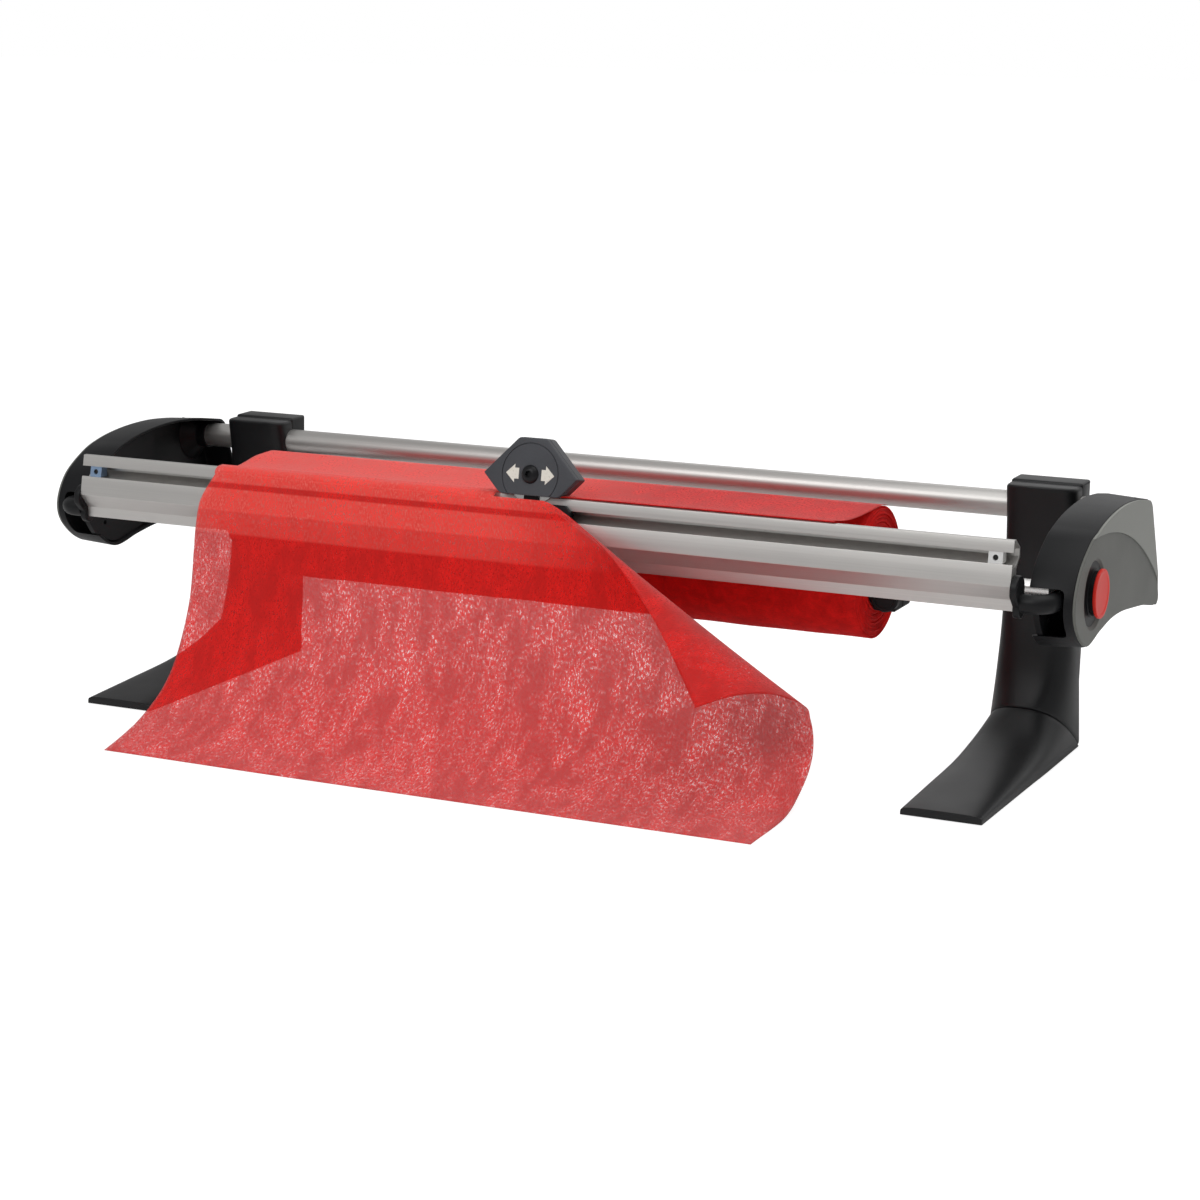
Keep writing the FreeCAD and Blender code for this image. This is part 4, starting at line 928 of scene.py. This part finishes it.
class GIFTCUTTER_OT_bar(bpy.types.Operator):
    """Slotted cutting bar with its stop nuts, lugs and crank arms"""

    bl_idname = "giftcutter.bar"
    bl_label = "Cutting bar"

    def execute(self, context):
        settings = context.scene.giftcutter_stand
        silver = anodised("bar_aluminium", settings.aluminium)
        rail = piece("rail", *prism_x(bar_outline(), BAR_LOW.x, BAR_HIGH.x), silver, 20)
        stand_in(rail, "bar", "cutting_bar")
        black = moulded("crank_black", settings.black, 0.38, 0.1)
        for side, sign in SIDES:
            on_side(side, sign, "lug", lug_skin(), black, "bar_lug", body="bar", sharp=40)
            on_side(side, sign, "crank", crank_skin(), black, "crank_arm", body="bar", sharp=40)
        paint(["right_stop_nut"], anodised("nut_plain", (0.78, 0.78, 0.77)))
        paint(["left_stop_nut"], anodised("nut_blue_zinc", (0.30, 0.42, 0.60)))
        paint(["stop_grub_screws"], moulded("screw_black", (0.01, 0.01, 0.01), 0.35))
        return {"FINISHED"}


LUG_Y, ROD_Z = TUBE.y - 0.257, 0.2005


def lug_skin():
    """Waisted plate: two discs joined by a straight rear edge and a hollow front."""
    top = arc((LUG_Y - 0.005, 0.2135), 0.013, np.radians(np.linspace(-25, 205, 40)))
    foot = arc((LUG_Y + 0.001, 0.195), 0.0088, np.radians(np.linspace(160, 372, 32)))
    return prism_x(np.concatenate([top, foot]), LUG_LOW.x, LUG_HIGH.x, 0.001)


def crank_skin():
    """Round rod swept along its bent line, and the ring of its eye on the pivot."""
    low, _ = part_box("right_crank_arm")
    radius, bend = 0.009, 0.014
    start = np.array([low.x, LUG_Y, ROD_Z])
    corner = np.array([WEB - 0.0004 - 0.002 - radius, LUG_Y, ROD_Z])
    pivot = np.array([corner[0], PIVOT.y, PIVOT.z])
    back = (pivot - corner) / np.linalg.norm(pivot - corner)
    bend_in, bend_out = corner - [bend, 0, 0], corner + back * bend
    line = [start, bend_in - [0.001, 0, 0]]
    for t in np.linspace(0, 1, 9):
        angle = t * math.pi / 2
        line.append(bend_in + back * bend * (1 - math.cos(angle)) + np.array([bend, 0, 0]) * math.sin(angle))
    line = np.array(line + [bend_out + back * 0.001, pivot - back * 0.008])
    way = np.gradient(line, axis=0)
    way /= np.linalg.norm(way, axis=1, keepdims=True)
    side = np.cross(np.array([1.0, 0, 0]), back)
    side /= np.linalg.norm(side)
    other = np.cross(way, side)
    turn = np.linspace(0, 2 * np.pi, 40, endpoint=False)
    rings = line[:, None] + radius * (np.cos(turn)[None, :, None] * side
                                      + np.sin(turn)[None, :, None] * other[:, None])
    bore, rim, half = 0.0065, 0.014, 0.007
    eye = revolve(softened([(bore, corner[0] - half), (rim, corner[0] - half), (rim, corner[0] + half),
                            (bore, corner[0] + half)], 0.0008), PIVOT, steps=64)
    return joined(loft(rings), eye)


# --- cutter head ---
CUTTER_MM = 21.0
SLOT_MIDDLE_MM = 241.75


def leaning(x, up, out):
    """Point at x, a height up the bar's leaning face and a distance out from it: the face's
    middle line turned back by the lean."""
    rise = (up - SLOT_MIDDLE_MM) * MM
    out = out * MM
    y = TUBE.y + bar_face(SLOT_MIDDLE_MM) * MM + rise * math.sin(LEAN) - out * math.cos(LEAN)
    z = SLOT_MIDDLE_MM * MM + rise * math.cos(LEAN) + out * math.sin(LEAN)
    return points_of(x, y, z)


def leaning_prism(outline_mm, rows):
    """Skin of an (x, up) outline in millimetres carried through (out, inset) rows."""
    rings = banded(np.asarray(outline_mm, float), rows)
    return loft(leaning(rings[..., 1] * MM, rings[..., 2], rings[..., 0]))


BLADE_UP_MM = 278.8
FACE_OUT_MM = 9.7
PARTING_MM = FACE_OUT_MM - 5.4
RING_MM = 29.8
WELL_MM, WELL_FLOOR_MM = 29.4, -2.2
SOCKET_MM = 3.5
# Half width and level of the head's outline at its foot, its widest place and its top
FOOT_HALF_MM, FOOT_UP_MM = 31.5, 258.2
HALF_WIDTH_MM, WIDEST_UP_MM = 50.2, 277.3
TOP_HALF_MM, TOP_UP_MM = 14.6, 314.0
GROOVE_DEPTH_MM = 0.9


def leaning_turn(profile_mm, steps=64):
    """Skin of (radius, out) pairs in millimetres turned about the blade's axis, which stands
    square to the bar's face."""
    profile = np.asarray(profile_mm, float)
    turn = np.linspace(0, 2 * np.pi, steps, endpoint=False)
    x = CUTTER_MM + profile[:, :1] * np.cos(turn)
    up = BLADE_UP_MM + profile[:, :1] * np.sin(turn)
    return loft(leaning(x * MM, up, profile[:, 1:]))


def head_outline(bottom_mm):
    """Six-sided outline of the head above a level, with softened corners."""
    share = (bottom_mm - FOOT_UP_MM) / (WIDEST_UP_MM - FOOT_UP_MM)
    half = FOOT_HALF_MM + (HALF_WIDTH_MM - FOOT_HALF_MM) * share
    corners = [(half, bottom_mm), (HALF_WIDTH_MM, WIDEST_UP_MM), (TOP_HALF_MM, TOP_UP_MM)]
    line = np.array([(-half, bottom_mm), *corners, *((-x, up) for x, up in corners[:0:-1])])
    out = []
    for k, radius in enumerate((4.0, 4.0, 1.6, 3.0, 3.0, 1.6)):
        before, corner, after = line[k - 1], line[k], line[(k + 1) % 6]
        out += list(softened([(before + corner) / 2, corner, (corner + after) / 2], radius, 5)[1:-1])
    return np.array(out) + [CUTTER_MM, 0]


def arrow_outline(side):
    """Block arrow beside the blade screw, its point away from the screw."""
    tip, barb, tail = 25.8, 16.5, 12.0
    reach, shaft = 8.9, 5.3
    outline = np.array([(tip, 0), (barb, reach), (barb, shaft), (tail, shaft), (tail, -shaft), (barb, -shaft),
                        (barb, -reach)])
    return outline * [side, 1] + [CUTTER_MM, BLADE_UP_MM]


class GIFTCUTTER_OT_head(bpy.types.Operator):
    """Cutter head, its shoe, blade and screws"""

    bl_idname = "giftcutter.head"
    bl_label = "Cutter head"

    def execute(self, context):
        settings = context.scene.giftcutter_stand
        black = moulded("head_black", [c * 8.5 for c in settings.black], 0.46, 0.16, 0.3)
        arrow_rows = [(FACE_OUT_MM - 0.6, 0), (FACE_OUT_MM, 0), (FACE_OUT_MM + 0.15, 0.15)]
        arrows = joined(*(leaning_prism(arrow_outline(side), arrow_rows) for side in (-1, 1)))
        for made, node in (
                (head_face(black), "head_front_cover"),
                (piece("arrows", *arrows, painted_arrow("arrow_white")), "direction_arrows"),
                (head_back(black), "head_rear_cover"),
                (pivot_screw(moulded("screw_oxide", (0.006, 0.006, 0.007), 0.28, 0.03)), "blade_screw")):
            stand_in(made, "carriage", node)
        paint(["carriage_shoe", "slot_slider"], moulded("shoe_black", settings.black, 0.45, 0.1))
        paint(["shoe_screws"], bare_steel("pan_screws", (0.3, 0.3, 0.31), 0.35))
        paint(["rotary_blade"], bare_steel("blade_steel", (0.8, 0.8, 0.79), 0.16))
        return {"FINISHED"}


def head_face(material):
    """Front cover: a thin shell down to the parting line, with a groove round the blade's
    housing."""
    front = FACE_OUT_MM
    rows = [(PARTING_MM + 0.05, 1.2), (PARTING_MM + 0.05, 0.6), (PARTING_MM + 0.4, 0.3), (front - 0.9, 0.3),
            (front - 0.4, 0.45), (front - 0.1, 0.8), (front, 1.3)]
    made = piece("head_face", *leaning_prism(head_outline(258.3), rows), material)
    inner, outer = (leaning_turn([(RING_MM + wide, front - GROOVE_DEPTH_MM),
                                  (RING_MM + wide * 1.2, front + 1)], 96) for wide in (-0.5, 0.5))
    cut(made, ring_skin(outer, inner))
    return made


def head_back(material):
    """Rear cover, hollowed for the blade and open below it."""
    rows = [(-9.2, 1.4), (-9.1, 0.8), (-8.7, 0.3), (-8.1, 0.0), (PARTING_MM - 0.5, 0.0),
            (PARTING_MM - 0.05, 0.5), (PARTING_MM - 0.05, 1.2)]
    made = piece("head_back", *leaning_prism(head_outline(260.5), rows), material)
    cut(made, leaning_turn([(WELL_MM, PARTING_MM + 1), (WELL_MM, WELL_FLOOR_MM)], 96))
    way_out = np.array([(-WELL_MM, 250), (WELL_MM, 250), (WELL_MM, BLADE_UP_MM), (-WELL_MM, BLADE_UP_MM)])
    cut(made, leaning_prism(way_out + [CUTTER_MM, 0], [(WELL_FLOOR_MM, 0), (PARTING_MM + 1, 0)]))
    return made


def pivot_screw(material):
    """Domed screw in the face's middle with a six-sided socket."""
    front = FACE_OUT_MM
    dome = softened([(0.3, front - 0.3), (9.0, front - 0.3), (9.0, front + 0.5), (7.7, front + 2.4),
                     (4.9, front + 3.9), (SOCKET_MM, front + 4.2), (0.3, front + 4.2)], 1.2, 4)
    made = piece("pivot_screw", *leaning_turn(dome), material)
    corners = arc((CUTTER_MM, BLADE_UP_MM), SOCKET_MM, np.radians(np.arange(6) * 60 + 12))
    cut(made, leaning_prism(corners, [(front + 1.2, 0), (front + 6, 0)]))
    return made


def ring_skin(outer, inner):
    """Closed ring between two skins of equal points: outer wall, inner wall and two ends."""
    (out_points, _), (in_points, _) = outer, inner
    count = len(out_points) // 2
    points = np.concatenate([out_points, in_points])
    first = np.arange(count)
    after = np.roll(first, -1)
    ends = [(0, 1), (1, 3), (3, 2), (2, 0)]
    quads = [np.stack([first + a * count, after + a * count, after + b * count, first + b * count], axis=-1)
             for a, b in ends]
    return points, np.concatenate(quads).tolist()


# --- roll and sheet ---
class GIFTCUTTER_OT_roll(bpy.types.Operator):
    """Roll of wrap with its core, plugs, clamps and knobs"""

    bl_idname = "giftcutter.roll"
    bl_label = "Roll"

    def execute(self, context):
        wrap = context.scene.giftcutter_wrap
        stand = context.scene.giftcutter_stand
        red = wound_wrap("wound_wrap", wrap.red, wrap.deep_red)
        roll = piece("wrap_roll", *roll_skin(), red, 60)
        stand_in(roll, "roll", "wound_roll")
        card = moulded("core_card", (0.30, 0.20, 0.12), 0.8, 0.3)
        paint(["core_tube"], card)
        black = moulded("clamp_black", stand.black, 0.45, 0.15)
        paint(both("core_plug", "clamp_block", "clamp_knob"), black)
        return {"FINISHED"}


def roll_skin():
    """Wound roll: rings along X whose radius wavers by a fraction of a millimetre, and ends
    where the layers stand in and out of line as small ridges."""
    radius = (ROLL_HIGH.y - ROLL_LOW.y) / 2
    bore = (CORE_HIGH.y - CORE_LOW.y) / 2
    low, high = ROLL_LOW.x, ROLL_HIGH.x
    inner = np.linspace(bore, radius - 0.0006, 42)
    ridge = 0.0005 * np.sin(inner * 4100) + 0.0004 * np.sin(inner * 1730 + 1.0)
    start = np.stack([inner, low + 0.0009 + ridge], axis=1)
    end = np.stack([inner[::-1], high - 0.0009 - ridge[::-1]], axis=1)
    along = np.linspace(low + 0.0012, high - 0.0012, 50)
    waver = 0.00022 * np.sin(along * 37) + 0.00015 * np.sin(along * 91 + 2)
    outer = np.stack([radius - 0.0003 + waver, along], axis=1)
    profile = np.concatenate([start, outer, end, [(bore, low + 0.001)]])
    rings = rings_about(profile[:, :1], profile[:, 1:], middle("wound_roll"), 128)
    index = np.arange(rings.shape[0] * rings.shape[1]).reshape(rings.shape[:2])
    below = np.roll(index, -1, axis=0)
    quads = np.stack([index, np.roll(index, -1, axis=1), np.roll(below, -1, axis=1), below], axis=-1)
    return rings.reshape(-1, 3), quads.reshape(-1, 4).tolist()


# Lines of the hanging sheet from the counter up, as (y, height) in millimetres from the
# tube's axis: at its left edge, over most of its width, and at its right edge up to the fold
HANG_LEFT_MM = [(-431.5, 0.9), (-384, 16), (-339, 41), (-312, 71), (-290, 121), (-281, 165), (-276, 215),
                (-273.6, 252)]
HANG_FULL_MM = [(-433.5, 0.9), (-385, 13), (-335, 43), (-309, 76), (-293, 120), (-283, 165), (-277.5, 215),
                (-274.3, 252)]
HANG_RIGHT_MM = [(-432.5, 0.9), (-353, 2.9), (-313, 18), (-287, 37), (-279, 56), (-279.5, 70), (-283, 81),
                 (-289, 91)]
HANG_LENGTH_MM = 331.0
HANG_ROWS = 14
TOP_MM = (-272.6, 256.4)
BAR_LINE_MM = (-263.5, 260.1)
SHEET_EDGES_MM = (-357.0, 329.0)
CUT_MM, FOLD_MM = -16.0, 38.0
# The flap beyond the fold, as (x, y, z): its corner, how its edge bows and how its middle bulges
CORNER_MM = (253, -400, 109)
FLAP_BOW_MM = (24.0, 0.0, 7.0)
FLAP_BULGE_MM = (5.0, 0.0, 13.0)
FLAP_SHARES = (0.33, 0.67, 1.0)
# How the left side differs: how far in its own line reaches, and the pull at its upper corner
LEFT_REACH_MM = 190
CORNER_REACH_MM = 120
CORNER_PULL_MM, PULL_FADE_MM = 24.0, 22
# Behind the bar: how far back the pull fades, and where the sheet sags most
REAR_FADE_MM = 95
SAG_MIDDLE_MM, SAG_REACH_MM = -212, 27.0
# Heights in metres of the bar's foot, nose and slot, where the sheet's painted light of the bar behind it
# changes
PAINTED_BAR_LEVELS = (0.194, 0.2165, 0.2385, 0.246)


def eased(value, low, high):
    """0 below low, 1 above high, and 3 t^2 - 2 t^3 between them."""
    t = np.clip((value - low) / (high - low), 0, 1)
    return t * t * (3 - 2 * t)


def evenly(line, count):
    """A line of points resampled at equal distances along itself."""
    smooth_line = through(line, 12)
    steps = np.linalg.norm(np.diff(smooth_line, axis=0), axis=1)
    reach = np.concatenate([[0], np.cumsum(steps)])
    want = np.linspace(0, reach[-1], count)
    return np.stack([np.interp(want, reach, smooth_line[:, k]) for k in range(2)], axis=1)


def near_left(x, reach):
    """1 at the sheet's left edge, easing to 0 at a reach from it."""
    return 1 - eased(x, SHEET_EDGES_MM[0], SHEET_EDGES_MM[0] + reach)


def pulled_in(x, share):
    """How far the columns by the left edge are drawn in towards the middle, in millimetres:
    the corner's full pull times a share."""
    return CORNER_PULL_MM * share * near_left(x, CORNER_REACH_MM)


def hanging_grid(columns_mm):
    """Rows of points of the front of the sheet. Each column runs up the blend
    full + a (left - full) + b (right - full) of the three lines, and past the fold on to
    the flap's cut edge, which bows outwards by a sine."""
    x = np.asarray(columns_mm)[None, :]
    to_left = near_left(x, LEFT_REACH_MM)
    to_right = np.clip((x - FOLD_MM) / (SHEET_EDGES_MM[1] - FOLD_MM), 0, 1)
    left, full, right = (evenly(line, HANG_ROWS)[:, None, :]
                         for line in (HANG_LEFT_MM, HANG_FULL_MM, HANG_RIGHT_MM))
    rise = np.linspace(0, 1, HANG_ROWS)[:, None]
    ripple = np.sin(x / 41 + 1.3) + 0.7 * np.sin(x / 23 + rise * 5) + 0.6 * np.sin(rise * 17 + x / 150)
    spread = (-10.0 * to_left * (1 - rise) ** 3 - to_right * (7.5 + 8.0 * rise ** 6)
              + pulled_in(x, np.exp((rise - 1) * HANG_LENGTH_MM / PULL_FADE_MM)))
    rows = np.zeros((HANG_ROWS + len(FLAP_SHARES), x.shape[1], 3))
    hang, flap = rows[:HANG_ROWS], rows[HANG_ROWS:]
    hang[..., 0] = x + spread
    hang[..., 1:] = full + to_left[..., None] * (left - full) + to_right[..., None] * (right - full)
    hang[..., 1] += 0.9 * ripple * np.sin(np.pi * rise) * (1 - 0.6 * to_right)
    b = to_right[0][:, None]
    fold = np.array((FOLD_MM, *TOP_MM))
    tip = fold + b * (np.array(CORNER_MM) - fold) + np.sin(np.pi * b ** 0.75) * np.array(FLAP_BOW_MM)
    tip[:, 0] += np.minimum(x[0] - FOLD_MM, 0) + pulled_in(x[0], 1.0)
    for row, share in zip(flap, FLAP_SHARES):
        row[:] = hang[-1] + (tip - hang[-1]) * share + np.array(FLAP_BULGE_MM) * b * 4 * share * (1 - share)
    return smoothed(rows, 7)


def smoothed(rows_mm, steps):
    """Rows of points with a smooth line down each column, in the shared frame's metres."""
    lines = through(rows_mm.reshape(len(rows_mm), -1), steps)
    return section(lines.reshape(-1, *rows_mm.shape[1:]))


def over_bar_grid(columns_mm):
    """Rows of points from the sheet's top in front of the bar up on to the bar's top line."""
    line = through([(-274.3, 252), TOP_MM, (-268.4, 259.4), BAR_LINE_MM, (-258, 260.2)], 6)[6:19]
    x = np.asarray(columns_mm)[None, :]
    return section(points_of(x + pulled_in(x, 1.0), line[:, :1], line[:, 1:]))


def rear_grid(columns_mm):
    """Rows of points from the bar's top line to the top of the roll, sagging between them,
    more at the left edge."""
    x = np.asarray(columns_mm)[None, :]
    radius = (ROLL_HIGH.y - ROLL_LOW.y) / 2 / MM + 0.7
    centre = (middle("wound_roll").y - TUBE.y) / MM, middle("wound_roll").z / MM
    on_roll = arc(centre, radius, np.radians([96, 88, 80, 72]))
    line = np.array([BAR_LINE_MM, (-258, 260.2), (-249, 258.4), (-225, 255.4), (-195, 253.6), (-168, 253.2),
                     *on_roll])
    y, z = line[:, :1], line[:, 1:]
    across = x + pulled_in(x, 1 - 0.8 * eased(y - BAR_LINE_MM[0], 0, REAR_FADE_MM))
    sag = np.exp(-((y - SAG_MIDDLE_MM) / SAG_REACH_MM) ** 2) * (0.6 + 3.6 * near_left(x, CORNER_REACH_MM))
    return smoothed(points_of(across, y, z - sag), 6)


def cloth(name, blocks, columns_mm, material, thickness):
    """Piece from blocks of rows that share their edge rows. Each block says how many of the
    columns it spans. Its map is in metres: across the cloth, and along each column."""
    points, faces, flat, start = [], [], [], 0
    reach = 0.0
    for rows, span in blocks:
        rows = rows[:, :span]
        count = rows.shape[1]
        index = start + np.arange(rows.shape[0] * count).reshape(-1, count)
        quads = np.stack([index[:-1, :-1], index[:-1, 1:], index[1:, 1:], index[1:, :-1]], axis=-1)
        faces.append(quads.reshape(-1, 4))
        steps = np.linalg.norm(np.diff(rows, axis=0), axis=2)
        along = np.concatenate([np.zeros((1, count)), np.cumsum(steps, axis=0)])
        along = along + (reach if np.ndim(reach) == 0 else reach[None, :count])
        reach = along[-1]
        across = np.broadcast_to(np.asarray(columns_mm[:count]) * MM, along.shape)
        flat.append(np.stack([across, along], axis=-1).reshape(-1, 2))
        points.append(rows.reshape(-1, 3))
        start += rows.shape[0] * count
    faces = np.concatenate(faces)
    flat = np.concatenate(flat)
    mesh = bpy.data.meshes.new(name)
    mesh.from_pydata(np.concatenate(points).tolist(), [], faces.tolist())
    uv = mesh.uv_layers.new(name="flat")
    corners = np.empty(len(mesh.loops), dtype=np.int32)
    mesh.loops.foreach_get("vertex_index", corners)
    uv.data.foreach_set("uv", flat[corners].astype(np.float32).ravel())
    shape = bmesh.new()
    shape.from_mesh(mesh)
    bmesh.ops.remove_doubles(shape, verts=shape.verts, dist=0.00002)
    shape.to_mesh(mesh)
    shape.free()
    mesh.materials.append(material)
    mesh.shade_smooth()
    made = bpy.data.objects.new(name, mesh)
    bpy.context.scene.collection.objects.link(made)
    thick = made.modifiers.new("Thickness", "SOLIDIFY")
    thick.thickness = thickness
    thick.offset = 0.0
    return made


class GIFTCUTTER_OT_sheet(bpy.types.Operator):
    """Sheet of wrap from the roll over the bar to the counter"""

    bl_idname = "giftcutter.sheet"
    bl_label = "Sheet"

    def execute(self, context):
        wrap = context.scene.giftcutter_wrap
        material = non_woven("wrap_layer", wrap.red, wrap.cover, PAINTED_BAR_LEVELS)
        whole = np.linspace(SHEET_EDGES_MM[0], CUT_MM, 90)
        columns = np.concatenate([whole, np.linspace(CUT_MM, SHEET_EDGES_MM[1], 92)[1:]])
        hang = hanging_grid(columns)
        front = cloth("wrap_front", [(hang, len(columns)), (over_bar_grid(columns), len(whole))], columns,
                      material, wrap.thickness)
        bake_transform(front)
        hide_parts("paper_sheet")
        rear = cloth("wrap_rear", [(rear_grid(columns), len(columns))], columns, material, wrap.thickness)
        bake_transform(rear)
        return {"FINISHED"}


class GIFTCUTTER_PT_panel(bpy.types.Panel):
    """Lists the builder's settings and steps"""

    bl_label = "Gift Wrap Cutter"
    bl_idname = "GIFTCUTTER_PT_panel"
    bl_space_type = "VIEW_3D"
    bl_region_type = "UI"
    bl_category = "Gift Wrap"

    def draw(self, context):
        layout = self.layout
        for group in (context.scene.giftcutter_stand, context.scene.giftcutter_wrap,
                      context.scene.giftcutter_stage):
            for name in group.__annotations__:
                layout.prop(group, name)
        for step in STEPS:
            layout.operator(step.bl_idname)


STEPS = (GIFTCUTTER_OT_stage, GIFTCUTTER_OT_legs, GIFTCUTTER_OT_housings, GIFTCUTTER_OT_buttons,
         GIFTCUTTER_OT_tube, GIFTCUTTER_OT_bar, GIFTCUTTER_OT_head, GIFTCUTTER_OT_roll, GIFTCUTTER_OT_sheet)
GROUPS = (("giftcutter_stand", StandSettings), ("giftcutter_wrap", WrapSettings),
          ("giftcutter_stage", StageSettings))


def register():
    """Add the settings, steps and panel."""
    for name, group in GROUPS:
        bpy.utils.register_class(group)
        setattr(bpy.types.Scene, name, bpy.props.PointerProperty(type=group))
    for made in (*STEPS, GIFTCUTTER_PT_panel):
        bpy.utils.register_class(made)


def unregister():
    """Remove what register added."""
    for made in (GIFTCUTTER_PT_panel, *reversed(STEPS)):
        bpy.utils.unregister_class(made)
    for name, group in reversed(GROUPS):
        delattr(bpy.types.Scene, name)
        bpy.utils.unregister_class(group)


def main():
    """Register, then run every step in order."""
    register()
    for step in STEPS:
        family, action = step.bl_idname.split(".")
        getattr(getattr(bpy.ops, family), action)()


if __name__ == "__main__":
    main()
